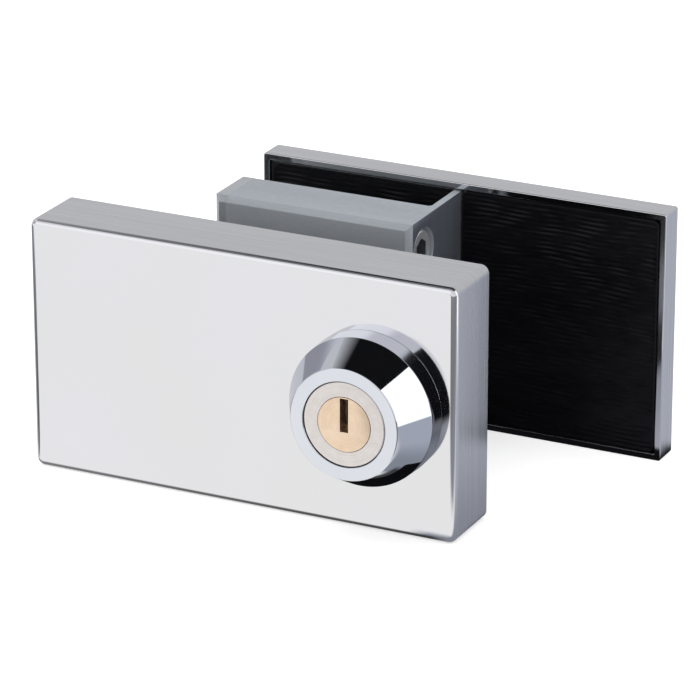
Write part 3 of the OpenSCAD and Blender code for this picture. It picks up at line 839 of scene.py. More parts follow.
@dataclass
class Lock:
    """What every sub-assembly shares: how a piece is dressed, seated and reported."""

    finishes: Finishes

    def seat(self, piece: Object, body: Body, slot: Slot, *nodes: str) -> Object:
        """Lets a piece ride on a body and stand for its nodes.

        Args:
            piece: The piece.
            body: The body it rides on.
            slot: The record's slot of its finish; not used.
            nodes: The nodes that it replaces.

        Returns:
            The same piece.
        """
        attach(piece, body.value)
        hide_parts(*nodes)
        log.info("%s: %d faces, on %s", piece.name, len(piece.data.polygons), body.value)
        return piece

    def dress(self, piece: Object, *materials: Material) -> None:
        """Gives a piece its materials, the first for all faces that have no other.

        Args:
            piece: The piece.
            materials: Its materials, in the order of the numbers that its faces carry.
        """
        piece.data.materials.clear()
        for material in materials:
            piece.data.materials.append(material)

    def present(self, mesh: Mesh, material: Material, body: Body, slot: Slot, node: str,
                angle: float = 32) -> Object:
        """Makes a piece of a new mesh, with the mesh's name.

        Args:
            mesh: The mesh.
            material: Its material.
            body: The body it rides on.
            slot: The record's slot of its finish.
            node: The node that it replaces.
            angle: Edges that turn by more than this, in degrees, stay sharp.

        Returns:
            The new piece.
        """
        smooth(mesh, angle)
        piece = add_object(mesh.name, mesh)
        self.dress(piece, material)
        return self.seat(piece, body, slot, node)

    def refine(self, node: str, body: Body, slot: Slot, materials: list[Material],
               width: float, segments: int, chamfer: float = 0.0) -> Object:
        """A copy of a node whose sharp edges are broken by a fine bevel.

        The loose triangles are merged, faces that lie in one plane are joined, and every edge that
        turns by more than 35 degrees is bevelled by width. Where a chamfer is given, the edges that
        turn by 40 to 50 degrees, which are the two sides of a chamfer, are bevelled by that much
        instead, so that the chamfer looks round. Slivers that the bevel leaves are merged away.

        Args:
            node: The node to copy.
            body: The body it rides on.
            slot: The record's slot of its finish.
            materials: Its materials.
            width: Width of the bevel.
            segments: Pieces in each bevel.
            chamfer: Width of the bevel along chamfers, or 0 for no difference.

        Returns:
            The new piece.
        """
        flat, sharp, chamfer_low, chamfer_high = (math.radians(a) for a in (0.5, 35, 40, 50))
        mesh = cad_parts[node].data.copy()
        work = bmesh.new()
        work.from_mesh(mesh)
        bmesh.ops.remove_doubles(work, verts=work.verts, dist=SAME_POINT)
        bmesh.ops.dissolve_limit(work, angle_limit=flat, verts=work.verts, edges=work.edges)
        widest = max(width, chamfer)
        weight = work.edges.layers.float.new("bevel_weight_edge")
        for edge in work.edges:
            turn = edge.calc_face_angle(0)
            soft = chamfer > 0 and chamfer_low < turn < chamfer_high
            edge[weight] = 0 if turn < sharp else (chamfer if soft else width) / widest
        work.to_mesh(mesh)
        work.free()
        piece = add_object(node + "_fine", mesh)
        bevel = piece.modifiers.new("fine_bevel", "BEVEL")
        bevel.limit_method = "WEIGHT"
        bevel.width = widest
        bevel.segments = segments
        apply_modifiers(piece)
        merge_points(piece.data, SLIVER)
        smooth(piece.data)
        self.dress(piece, *materials)
        return self.seat(piece, body, slot, node)


@dataclass
class PressedCover(Lock):
    """A drawn steel cover: closed face, rounded edges, open rim."""

    node: str
    body: Body
    facing: Facing
    corner: float = 0.6 * MM
    edge: float = 0.5 * MM
    sheet: float = 1.6 * MM
    rim: float = 0.25 * MM
    fillet: float = 0.5 * MM
    beyond_edge: float = 0.3 * MM
    beyond_fillet: float = 0.2 * MM
    shrink: tuple[float, ...] = (0.3, 0.6, 0.85, 0.97)
    edge_part: float = 0.9
    edge_fade: float = 0.05
    face_part: float = 0.8

    def build(self) -> Object:
        """Makes the cover.

        A profile of (inset, depth) is carried round a rounded rectangle: each of its points makes a
        ring drawn in by the inset, at the depth. The two flats run on to the middle as shrinking
        copies of the last ring. The closed face and its rounded edge take the second material. The
        edge attribute fades in over the first part of the rounding and ends before the side.

        Returns:
            The cover.
        """
        low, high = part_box(self.node)
        size = high - low
        middle = (low + high) / 2
        face_y = low.y if self.facing is Facing.FRONT else high.y
        sheet, more = self.sheet, len(self.shrink)
        flat_in, floor_in = self.edge + self.beyond_edge, sheet + self.fillet + self.beyond_fillet
        profile = fillet_profile(
            [(flat_in, 0), (0, 0), (0, size.y), (sheet, size.y), (sheet, sheet), (floor_in, sheet)],
            [0, self.edge, self.rim, self.rim, self.fillet, 0])
        inset = np.concatenate([np.full(more, flat_in), profile[:, 0], np.full(more, floor_in)])
        depth = np.concatenate([np.zeros(more), profile[:, 1], np.full(more, sheet)])
        scale = np.concatenate([self.shrink, np.ones(len(profile)), self.shrink[::-1]])
        flat = rounded_rings(size.x, size.z, self.corner, inset) * scale[None, :, None]
        y = np.broadcast_to(face_y + self.facing.value * depth, flat.shape[:2])
        grid = np.stack([flat[..., 0] + middle.x, y, flat[..., 1] + middle.z], axis=2)
        rise = np.concatenate([[0], np.cumsum(np.hypot(np.diff(inset), np.diff(depth)))])
        outline = rounded_rings(size.x, size.z, self.corner, np.zeros(1))[:, 0]
        closed = np.vstack([outline, outline[:1]])
        run = np.concatenate([[0], np.cumsum(np.hypot(*np.diff(closed, axis=0).T))])
        uv = np.stack(np.meshgrid(run, rise, indexing="ij"), axis=2)
        fade = np.clip(depth / (self.edge * self.edge_fade), 0, 1)
        rounded = np.where(depth < self.edge * self.edge_part, fade, 0)
        on_edge = np.where(depth > size.y - self.rim, 1, rounded)
        name = self.node + "_pressed"
        piece = add_object(name, grid_mesh(name, grid, poles=True, uv=uv, edge=on_edge))
        self.cut_openings(piece, low)
        self.dress(piece, self.finishes.sides, self.finishes.face)
        in_face = np.abs(face_values(piece.data, "center")[:, 1] - face_y) < self.edge * self.face_part
        paint_faces(piece.data, in_face)
        smooth(piece.data)
        return self.seat(piece, self.body, Slot.STEEL, self.node)

    def cut_openings(self, piece: Object, low: Vector) -> None:
        """Cuts what the cover has cut out. A plain cover has nothing."""


@dataclass
class FrontCover(PressedCover):
    """The deep cover, with its cylinder hole, bolt window and countersunk holes."""

    bolt_height: float = 16 * MM
    bolt_play: float = 0.15 * MM
    shank_radius: float = 9.1 * MM
    screw_xs: Pair = (15.1 * MM, 41 * MM)
    screw_y: float = 11.7 * MM
    screw_radius: float = 1.55 * MM
    screw_head: float = 3.05 * MM
    sink_rim: float = 0.25 * MM
    sink_past: float = 0.05 * MM
    over: float = 1 * MM
    shank_steps: int = 96
    screw_steps: int = 48

    def cut_openings(self, piece: Object, low: Vector) -> None:
        """Cuts the hole for the cylinder, the window for the bolt and the two screw holes.

        Args:
            piece: The cover.
            low: The least corner of its box.
        """
        axis = lock_axis()
        bolt_low, bolt_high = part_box("bolt")
        over, play, through = self.over, self.bolt_play, self.sheet + self.over
        hole = np.array([(self.shank_radius, low.y - over), (self.shank_radius, low.y + through)])
        shank = turned_mesh("shank_hole", hole, (axis.x, axis.z), self.shank_steps, closed=False)
        window = box_mesh(
            "bolt_window", (low.x - over, bolt_low.y - play, bolt_high.z - self.bolt_height - play),
            (low.x + through, bolt_high.y + play, bolt_high.z + play))
        sink = np.array([(self.screw_head, -over), (self.screw_head, self.sink_rim),
                         (self.screw_radius, self.sheet + self.sink_past), (self.screw_radius, through)])
        sinks = [turned_mesh("screw_hole", sink, (low.x + x, low.y + self.screw_y), self.screw_steps,
                             along_z=True, closed=False) for x in self.screw_xs]
        cut(piece, [shank, window, *sinks])


@dataclass
class KeySide(Lock):
    """Rose, cylinder barrel and key plug.

    The last two fields round the corners of the two turned outlines, in mm.
    """

    foot: float = 17.55 * MM
    shoulder: float = 17.35 * MM
    shoulder_y: float = 4.6 * MM
    nose: float = 12.95 * MM
    length: float = 12.8 * MM
    bore: float = 9.95 * MM
    lip: float = 9.1 * MM
    lip_y: float = 3 * MM
    wall: float = 1.6 * MM
    barrel: float = 9.85 * MM
    shank: float = 9 * MM
    recess: float = 0.2 * MM
    plug: float = 6.35 * MM
    journal: float = 5.05 * MM
    journal_y: float = 3.3 * MM
    shank_back: float = 5.6 * MM
    thread_pitch: float = 1 * MM
    thread_depth: float = 0.45 * MM
    run_out: float = 0.5 * MM
    plug_edge: float = 0.16 * MM
    rose_steps: int = 192
    barrel_steps: int = 128
    thread_rows: int = 130
    rose_radii: tuple[float, ...] = (0, 0.2, 0.3, 0.3, 0.2, 0.1, 0.45, 0.35, 0.2, 0.1, 0.1)
    barrel_radii: tuple[float, ...] = (0.22, 0.35, 0.1, 0, 0.3, 0.1, 0.1, 0)

    def build(self) -> None:
        """Makes the three pieces of the key side."""
        self.build_rose()
        self.build_barrel()
        self.refine("key_plug", Body.PLUG, Slot.BRASS, [self.finishes.brass], self.plug_edge, 2)

    def build_rose(self) -> Object:
        """The turned rose: drum, cone and rounded nose, hollow behind.

        Returns:
            The rose.
        """
        axis = lock_axis()
        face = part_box("front_cover")[0].y
        hollow_in, hollow_out = self.bore + self.wall, self.shoulder - self.wall
        depth = self.shoulder_y - self.wall
        outline = [(self.lip, 0), (hollow_in, 0), (hollow_in, -depth), (hollow_out - self.wall / 2, -depth),
                   (hollow_out, 0), (self.foot, 0), (self.shoulder, -self.shoulder_y),
                   (self.nose, -self.length), (self.bore, -self.length), (self.bore, -self.lip_y),
                   (self.lip, -self.lip_y)]
        radii = [radius * MM for radius in self.rose_radii]
        profile = fillet_profile(outline, radii, steps=7, closed=True)
        profile[:, 1] += face
        mesh = turned_mesh("rose_turned", profile, (axis.x, axis.z), self.rose_steps)
        return self.present(mesh, self.finishes.chrome, Body.FRONT, Slot.CHROME, "rose")

    def build_barrel(self) -> Object:
        """The barrel: bevelled face, smooth nose, and a shank with its thread cut as a helix.

        The thread lowers the radius by its depth times a triangle wave of (height over pitch minus
        angle over a full turn), so that the crest climbs one pitch in each turn.

        Returns:
            The barrel.
        """
        axis = lock_axis()
        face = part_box("front_cover")[0].y
        front = -self.length + self.recess
        outline = [(self.plug, front), (self.barrel, front), (self.barrel, -self.lip_y),
                   (self.shank, -self.lip_y), (self.shank, self.shank_back),
                   (self.journal, self.shank_back), (self.journal, self.journal_y),
                   (self.plug, self.journal_y)]
        radii = [radius * MM for radius in self.barrel_radii]
        profile = fillet_profile(outline, radii, steps=4, closed=True)
        start = int(np.argmax((profile[:, 0] == self.shank) & (profile[:, 1] == -self.lip_y))) + 1
        thread_end = self.shank_back - self.run_out
        rise = np.linspace(-self.lip_y, thread_end, self.thread_rows)[1:]
        shank = np.column_stack([np.full(len(rise), self.shank), rise])
        profile = np.vstack([profile[:start], shank, profile[start:]])
        turn = np.linspace(0, 1, self.barrel_steps, endpoint=False)[:, None]
        wave = (rise[None] / self.thread_pitch - turn) % 1
        fade = np.clip(np.minimum(rise + self.lip_y, thread_end - rise) / self.run_out, 0, 1)
        radius = np.tile(profile[:, 0], (self.barrel_steps, 1))
        radius[:, start:start + len(rise)] -= self.thread_depth * np.abs(2 * wave - 1) * fade
        profile[:, 1] += face
        mesh = turned_mesh("barrel_turned", profile, (axis.x, axis.z), self.barrel_steps, radius=radius)
        return self.present(mesh, self.finishes.nickel, Body.FRONT, Slot.NICKEL, "cylinder_body", 50)


@dataclass
class RubberPads(Lock):
    """The pads that grip the glass, with fine ribs that run along X."""

    corner: float = 1.6 * MM
    round_edge: float = 0.35 * MM
    rib_pitch: float = 1.15 * MM
    rib_height: float = 0.2 * MM
    wander: float = 0.17 * MM
    step: float = 0.17 * MM
    columns: int = 91
    calm_rim: float = 1.2 * MM
    wanders: tuple[Point, ...] = ((3.1 * MM, 2.2, 4.7 * MM), (7.9 * MM, -1.7, 7.3 * MM))
    patch_x: Point = (2.1 * MM, 2.6, 2.3 * MM)
    patch_z: Point = (1.9 * MM, 1.8, 4.7 * MM)
    patch_depth: float = 0.8
    least_rib: float = 0.1
    edge_share: float = 0.45
    weld: float = 0.002 * MM
    sides: tuple[tuple[str, Body, Facing], ...] = (
        ("rear_pad", Body.REAR, Facing.FRONT), ("front_pad", Body.FRONT, Facing.BACK),
        ("foot_pad", Body.REAR, Facing.FRONT))

    def build(self) -> None:
        """Makes the three rubber pads."""
        for node, body, facing in self.sides:
            self.build_pad(node, body, facing)

    def build_pad(self, node: str, body: Body, facing: Facing) -> Object:
        """One pad: a rounded slab whose glass side carries ribs.

        The slab is a rounded outline with a rounded edge. On its glass side, rows of points run
        from end to end, each cut to the outline's width at its height. A point there is lowered by
        the rib height times a raised cosine of its height over the pitch. Two slow waves along X
        make the ribs wander, and the product of two more makes them deeper in patches.

        Args:
            node: The node that the pad replaces.
            body: The body it rides on.
            facing: Which way its glass side looks.

        Returns:
            The pad.
        """
        low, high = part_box(node)
        size, middle = high - low, (low + high) / 2
        edge = min(self.round_edge, size.y * self.edge_share)
        half_x, half_z = size.x / 2, size.z / 2
        z = np.linspace(-half_z, half_z, int(size.z / self.step))[:, None]
        drop = np.maximum(np.abs(z) - (half_z - self.corner), 0)
        reach = half_x - self.corner + np.sqrt(np.maximum(self.corner ** 2 - drop ** 2, 0))
        x = reach * np.sin(np.linspace(-math.pi / 2, math.pi / 2, self.columns))
        off_rim = np.minimum(reach - np.abs(x), half_z - np.abs(z))
        dome = edge - np.sqrt(np.maximum(edge ** 2 - (edge - np.minimum(off_rim, edge)) ** 2, 0))
        wave = sum(self.wander * bent_wave(x, z, *shape) for shape in self.wanders)
        patch = bent_wave(x, z, *self.patch_x) * bent_wave(z, x, *self.patch_z)
        ribs = 0.5 - 0.5 * np.cos(2 * math.pi * (z + wave) / self.rib_pitch)
        ribs *= np.clip(0.5 + self.patch_depth * patch, self.least_rib, 1)
        sunk = dome + self.rib_height * ribs * np.clip(off_rim / self.calm_rim, 0, 1)
        front_y, back_y = (low.y, high.y) if facing is Facing.FRONT else (high.y, low.y)
        level = np.broadcast_to(z + middle.z, x.shape)
        top = np.stack([x + middle.x, front_y + facing.value * sunk, level], axis=2)
        base = np.stack([x + middle.x, np.full(x.shape, back_y), level], axis=2)
        mesh = self.slab_mesh(node + "_ribbed", top, base)
        return self.present(mesh, self.finishes.rubber, body, Slot.RUBBER, node, 40)

    def slab_mesh(self, name: str, top: np.ndarray, base: np.ndarray) -> Mesh:
        """Closes a grid and its flat copy into one skin, joined along their shared outline.

        Args:
            name: Name of the mesh.
            top: Points of the ribbed side.
            base: The same points, laid on the flat side.

        Returns:
            The closed mesh.
        """
        sheets = np.concatenate([top, base[:, ::-1]], axis=1)
        mesh = grid_mesh(name, sheets, close_u=False, close_v=True)
        work = bmesh.new()
        work.from_mesh(mesh)
        bmesh.ops.remove_doubles(work, verts=work.verts, dist=self.weld)
        bmesh.ops.holes_fill(work, edges=[e for e in work.edges if e.is_boundary], sides=0)
        bmesh.ops.recalc_face_normals(work, faces=work.faces)
        work.to_mesh(mesh)
        work.free()
        return mesh


@dataclass
class CaseSide(Lock):
    """The cast case with its faceplate and long screws."""

    edge: float = 0.25 * MM
    chamfer: float = 0.75 * MM
    plate_edge: float = 0.15 * MM
    screw_edge: float = 0.3 * MM
    bolt_edge: float = 0.15 * MM
    # Width of the painted highlight round each screw hole, past the heads' radius.
    mouth: float = 0.9 * MM
    socket_share: float = 0.62
    socket_depth: float = 0.1 * MM
    near: float = 0.02 * MM
    mouth_sink: float = 0.05 * MM
    faces_front: float = -0.5
    faces_end: float = 0.95

    def build(self) -> None:
        """Makes the bevelled pieces of the case."""
        f = self.finishes
        case = self.refine("lock_case", Body.REAR, Slot.ZINC, [f.zinc, f.machined, f.rubber, f.screw],
                           self.edge, 4, self.chamfer)
        self.mark_machined(case.data)
        self.refine("faceplate", Body.REAR, Slot.STEEL, [f.faceplate], self.plate_edge, 4, self.chamfer)
        screws = self.refine("case_screws", Body.REAR, Slot.CHROME, [f.screw, f.socket], self.screw_edge, 3)
        self.paint_socket_shade(screws.data)
        self.refine("bolt", Body.BOLT, Slot.STEEL, [f.steel], self.bolt_edge, 2)

    def off_screws(self, centres: np.ndarray) -> tuple[np.ndarray, float]:
        """How far points lie from the nearer one of the two case screws' axes.

        Args:
            centres: The points, one row for each.

        Returns:
            The distances, and the radius of the screws' heads.
        """
        low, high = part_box("case_screws")
        radius = (high.y - low.y) / 2
        level = np.minimum(np.abs(centres[:, 2] - low.z - radius), np.abs(centres[:, 2] - high.z + radius))
        return np.hypot(centres[:, 1] - (low.y + high.y) / 2, level), radius

    def mark_machined(self, mesh: Mesh) -> None:
        """Gives each part of the case its material.

        The cut end and the foot take the second. The foot's front face takes the third, black rubber,
        which paints shade on the margin that the foot pad leaves bare. The faces round the mouths of
        the screw holes take the fourth, the screws' bright finish, as a painted highlight.

        Args:
            mesh: The case's mesh.
        """
        centres, normals = face_values(mesh, "center"), face_values(mesh, "normal")
        pad_high, case_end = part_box("foot_pad")[1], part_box("lock_case")[1].x
        end = centres[:, 0] > case_end - self.near
        foot = (centres[:, 1] > pad_high.y - self.near) & (centres[:, 0] < pad_high.x)
        # Painted shade: the foot's front faces take black rubber, which darkens the margin that the foot
        # pad leaves bare.
        numbers = np.where(foot & (normals[:, 1] < self.faces_front), 2, end | foot)
        away, radius = self.off_screws(centres)
        # Painted highlight: the case's faces round each screw hole take the screws' bright finish.
        mouth = (away < radius + self.mouth) & (centres[:, 0] > case_end - self.edge - self.mouth_sink)
        numbers[mouth & (normals[:, 0] < self.faces_end)] = 3
        paint_faces(mesh, numbers)

    def paint_socket_shade(self, mesh: Mesh) -> None:
        """Gives the screws' hexagon sockets, which lie below the heads' faces, the second material,
        which paints them dark as shade.

        Args:
            mesh: The screws' mesh.
        """
        centres = face_values(mesh, "center")
        away, radius = self.off_screws(centres)
        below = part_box("case_screws")[1].x - centres[:, 0]
        sunk = (away < radius * self.socket_share) & (below < radius) & (below > self.socket_depth)
        paint_faces(mesh, sunk)


@dataclass
class InnerParts(Lock):
    """The nodes that stay as they are and only take a finish."""

    def build(self) -> None:
        """Dresses the carried-over nodes."""
        f = self.finishes
        dressed = {
            f.plated: ("cylinder_washer", "cylinder_nut", "wafer_springs", "pinion", "pinion_screw",
                       "bolt_guide", "guide_screws", "front_base_plate", "base_plate_posts",
                       "base_plate_screws", "rear_base_plate", "foot_screws"),
            f.wafer: ("wafers",),
            f.foam: ("cover_pads",),
        }
        for material, names in dressed.items():
            for name in names:
                self.dress(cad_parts[name], material)


# Studio


class StageMaterial(Tree):
    """A material of the studio, made of plain shaders."""

    def __init__(self, name: str) -> None:
        """Starts a material without its Principled shader.

        Args:
            name: The material's name.
        """
        self.material = bpy.data.materials.new(name)
        self.material.use_nodes = True
        super().__init__(self.material.node_tree)
        self.tree.nodes.remove(self.tree.nodes["Principled BSDF"])

    def glow(self, color: object, strength: float = 1.0) -> NodeSocket:
        """A shader that gives off a colour."""
        return self.add("ShaderNodeEmission", {"Color": color, "Strength": strength}).outputs[0]

    def switch(self, share: object, first: NodeSocket, second: NodeSocket) -> NodeSocket:
        """Mixes two shaders."""
        return self.add("ShaderNodeMixShader", {0: share, 1: first, 2: second}).outputs[0]

    def place(self) -> tuple[NodeSocket, NodeSocket]:
        """Where the ray lands, as X and Y.

        Returns:
            The two coordinates.
        """
        place = self.add("ShaderNodeNewGeometry").outputs["Position"]
        axes = self.add("ShaderNodeSeparateXYZ", {0: place}).outputs
        return axes["X"], axes["Y"]

    def stage(self, piece: Object, surface: NodeSocket) -> None:
        """Feeds the surface and dresses a piece with it.

        Args:
            piece: The piece.
            surface: The shader of its surface.
        """
        self.feed(self.tree.nodes["Material Output"].inputs["Surface"], surface)
        piece.data.materials.append(self.material)


@dataclass(frozen=True)
class StudioColors:
    """What mirrored rays meet in the parts of the studio, with the painted light and shade of the floor."""

    room: Color = rgb(0.56, 0.56, 0.58)
    room_ahead: Color = rgb(0.80, 0.80, 0.83)
    # Painted shade for rays that were mirrored many times.
    deep: Color = rgb(0.05, 0.05, 0.055)
    low_white: Color = rgb(1.12, 1.12, 1.15)
    lamp_white: Color = rgb(1.45, 1.45, 1.45)
    floor_white: Color = rgb(1.0, 1.0, 1.0)
    slate_far: Color = rgb(0.46, 0.48, 0.55)
    slate_near: Color = rgb(0.28, 0.295, 0.34)
    grey_ahead: Color = rgb(0.23, 0.23, 0.24)
    grey_left: Color = rgb(0.42, 0.42, 0.46)
    shade_left: Color = rgb(0.15, 0.15, 0.155)
    foot_shadow_left: Color = rgb(0.24, 0.24, 0.245)
    foot_shadow_right: Color = rgb(0.04, 0.04, 0.042)
    flag_grey: Color = rgb(0.17, 0.17, 0.175)
    black: Color = rgb(0.006, 0.006, 0.007)


@dataclass
class FloorPaintedLightAndShade:
    """Painted light and shade that mirrored rays meet on the floor: white ahead, painted slate
    shade beside, painted black shadow between the halves.

    The floor's plan is split into zones. Each is a product of ramps that rise or fall along X, Y or
    a slanted line. The fields give the two ends of each ramp in mm, from the origin or from a side
    of a cover.
    """

    tree: StageMaterial
    colors: StudioColors
    slant_share: float = 0.49
    opening_share: float = 0.2
    slate_beside: Pair = (0, 30)
    slate_behind: Pair = (-1, 5)
    slate_ahead: Pair = (-5, -3)
    slate_right: Pair = (29, 34)
    rear_past_y: Pair = (2, 12)
    rear_past_x: Pair = (-6, 2)
    softbox_x: Pair = (190, 205)
    softbox_y: Pair = (-90, -60)
    softbox_end: Pair = (10, 40)
    glow_x: Pair = (125, 200)
    glow_start: Pair = (-6, 0)
    glow_end: Pair = (38, 48)
    grey_slant: Pair = (9, 24)
    grey_start: Pair = (-330, -190)
    grey_end: Pair = (-52, -34)
    grey_close: Pair = (-105, -80)
    shade_slant: Pair = (-3.5, -0.5)
    shade_start: Pair = (-150, -120)
    shade_end: Pair = (-2, 0)
    shade_close: Pair = (-110, -60)
    foot_start: Pair = (-1.5, -0.5)
    foot_end: Pair = (3, 5)
    foot_shadow_left: Pair = (-3, -1)
    foot_shadow_right: Pair = (-6, -2)
    inside_start: Pair = (4, 10)
    inside_end: Pair = (-2, 2)
    inside_beside: Pair = (-4, 2)
    rear_start: Pair = (-8, -6)
    rear_end: Pair = (1, 6)
    rear_left: Pair = (-4, -1)
    rear_right: Pair = (1, 4)
    late_slate: Pair = (-60, -40)
    late_black: Pair = (-30, -16)
    late_right: Pair = (38, 56)
    late_end: Pair = (-100, -50)

    def __post_init__(self) -> None:
        """Finds where the ray lands, its way off the front cover, and the slant of what the face sees."""
        tree = self.tree
        self.low, self.high = low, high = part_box("front_cover")
        self.rear_low, self.rear_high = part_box("rear_cover")
        self.x, self.y = tree.place()
        past_right, past_left = tree.math("SUBTRACT", self.x, high.x), tree.math("SUBTRACT", low.x, self.x)
        self.beside = tree.math("MAXIMUM", past_right, past_left)
        off_face = tree.math("SUBTRACT", self.y, low.y)
        self.slant = tree.math("SUBTRACT", self.x, tree.times(off_face, self.slant_share))

    def rise(self, value: NodeSocket, ends: Pair, origin: float = 0.0, kind: str = "LINEAR",
             levels: Pair = (0.0, 1.0)) -> NodeSocket:
        """A ramp from 0 to 1 between two ends, in mm from an origin."""
        return self.tree.spread(value, origin + ends[0] * MM, origin + ends[1] * MM, *levels, kind=kind)

    def fall(self, value: NodeSocket, ends: Pair, origin: float = 0.0, kind: str = "LINEAR") -> NodeSocket:
        """A ramp from 1 to 0 between two ends, in mm from an origin."""
        return self.rise(value, ends, origin, kind, (1.0, 0.0))

    def build(self, late: NodeSocket) -> NodeSocket:
        """Puts the zones together.

        Args:
            late: 1 for a ray that was mirrored twice or more.

        Returns:
            The colour that a mirrored ray meets.
        """
        color = self.beside_front()
        for zone in (self.softbox_painted_light, self.right_of_face, self.left_of_face, self.foot_painted_shadow,
                     self.painted_shadow_under_lock):
            mask, shade = zone()
            color = self.tree.mix(mask, color, shade)
        return self.tree.mix(late, color, self.late_painted_shade())

    def beside_front(self) -> NodeSocket:
        """White ahead of the front cover, a painted pool of the softbox's light far to the right, and
        painted slate shade beside and behind it, lighter further off.

        Returns:
            The colour.
        """
        tree, colors, x, y, low, rear = self.tree, self.colors, self.x, self.y, self.low, self.rear_high
        near = self.fall(self.beside, self.slate_beside, kind="SMOOTHSTEP")
        slate = tree.mix(near, colors.slate_far, colors.slate_near)
        behind = self.rise(y, self.slate_behind, low.y)
        at_right = tree.times(self.rise(y, self.slate_ahead, low.y), self.rise(x, self.slate_right))
        close = tree.math("MAXIMUM", self.fall(x, self.softbox_x), self.rise(y, self.softbox_end))
        past = tree.times(self.rise(y, self.rear_past_y, rear.y), self.fall(x, self.rear_past_x, rear.x))
        sides = tree.times(tree.math("MAXIMUM", behind, at_right), close, tree.math("SUBTRACT", 1.0, past))
        softbox = tree.times(self.rise(x, self.softbox_x), self.rise(y, self.softbox_y))
        return tree.mix(sides, tree.mix(softbox, colors.floor_white, colors.lamp_white), slate)

    def softbox_painted_light(self) -> tuple[NodeSocket, Color]:
        """A painted strip of softbox light on the floor, which the rear cover's right edge sees.

        Returns:
            The zone's mask, and its colour.
        """
        mask = self.tree.times(self.rise(self.y, self.glow_start), self.fall(self.y, self.glow_end),
                               self.rise(self.x, self.glow_x))
        return mask, self.colors.lamp_white

    def right_of_face(self) -> tuple[NodeSocket, NodeSocket]:
        """The painted grey shade on the floor that the face's right edge and the rose see, to the right
        ahead.

        Returns:
            The zone's mask, and its colour.
        """
        tree, y = self.tree, self.y
        mask = tree.times(self.rise(self.slant, self.grey_slant, self.high.x), self.fall(y, self.grey_end),
                          self.rise(y, self.grey_start))
        return mask, tree.mix(self.rise(y, self.grey_close), self.colors.grey_ahead, self.colors.slate_near)

    def left_of_face(self) -> tuple[NodeSocket, NodeSocket]:
        """The shade that the face's left edge sees, which draws back with the distance.

        Returns:
            The zone's mask, and its colour.
        """
        tree, y, low = self.tree, self.y, self.low
        opening = tree.times(tree.math("SUBTRACT", low.y, y), self.opening_share)
        off_left = tree.math("ADD", self.slant, opening)
        mask = tree.times(self.fall(off_left, self.shade_slant, low.x), self.rise(y, self.shade_start),
                          self.fall(y, self.shade_end, low.y))
        shade = tree.mix(self.rise(y, self.shade_close), self.colors.slate_near, self.colors.shade_left)
        return mask, shade

    def foot_painted_shadow(self) -> tuple[NodeSocket, NodeSocket]:
        """The painted shadow line under the front cover's edge, darker towards the right.

        Returns:
            The zone's mask, and its colour.
        """
        tree, x, y, low, high = self.tree, self.x, self.y, self.low, self.high
        mask = tree.times(self.rise(y, self.foot_start, low.y), self.fall(y, self.foot_end, low.y),
                          self.rise(x, self.foot_shadow_left, low.x), self.fall(x, self.foot_shadow_right, high.x))
        return mask, tree.mix(tree.spread(x, low.x, high.x), self.colors.foot_shadow_left, self.colors.foot_shadow_right)

    def painted_shadow_under_lock(self) -> tuple[NodeSocket, Color]:
        """Painted black shadow between the halves and under the rear one.

        Returns:
            The zone's mask, and its colour.
        """
        tree, x, y, left, rear = self.tree, self.x, self.y, self.rear_low.x, self.rear_high
        pad_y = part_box("rear_pad")[0].y
        inside = tree.times(self.rise(y, self.inside_start, self.low.y),
                            self.fall(y, self.inside_end, pad_y),
                            self.fall(self.beside, self.inside_beside))
        at_rear = tree.times(self.rise(y, self.rear_start, pad_y), self.fall(y, self.rear_end, rear.y),
                             self.fall(x, self.rear_right, rear.x), self.rise(x, self.rear_left, left))
        return tree.math("MAXIMUM", inside, at_rear), self.colors.black

    def late_painted_shade(self) -> NodeSocket:
        """Painted shade for a ray that was mirrored before: light ahead, dark at the foot and at the right.

        Returns:
            The colour.
        """
        tree, colors, y, low = self.tree, self.colors, self.y, self.low
        color = tree.mix(self.rise(y, self.late_slate, low.y), colors.room_ahead, colors.slate_near)
        color = tree.mix(self.rise(y, self.late_black, low.y), color, colors.black)
        at_right = tree.times(self.rise(self.x, self.late_right), self.fall(y, self.late_end))
        return tree.mix(at_right, color, colors.black)


@dataclass(frozen=True)
class Card:
    """A flat card that only mirrored rays see, between two opposite corners.

    Where fade is given, the card passes over that stretch of X from one colour to its own. Where
    Where first is given, a ray that was mirrored only once meets that colour, and a later ray meets
    the card's own colour, which paints shade on interreflections.
    """

    name: str
    color: Color
    low: Point
    high: Point
    fade: Pair | None = None
    fade_from: Color | None = None
    first: Color | None = None

    def build(self, late_depth: float) -> None:
        """Makes the card.

        Args:
            late_depth: A ray is late once its depth is above this.
        """
        card = sheet_object(self.name, self.low, self.high)
        surface = StageMaterial(self.name)
        color = self.color
        if self.fade:
            color = surface.mix(surface.spread(surface.place()[0], *self.fade), self.fade_from, color)
        if self.first:
            depth = surface.add("ShaderNodeLightPath").outputs["Ray Depth"]
            color = surface.mix(surface.math("GREATER_THAN", depth, late_depth), self.first, color)
        surface.stage(card, surface.glow(color))
        for kind in ("camera", "diffuse", "transmission", "volume_scatter", "shadow"):
            setattr(card, "visible_" + kind, False)


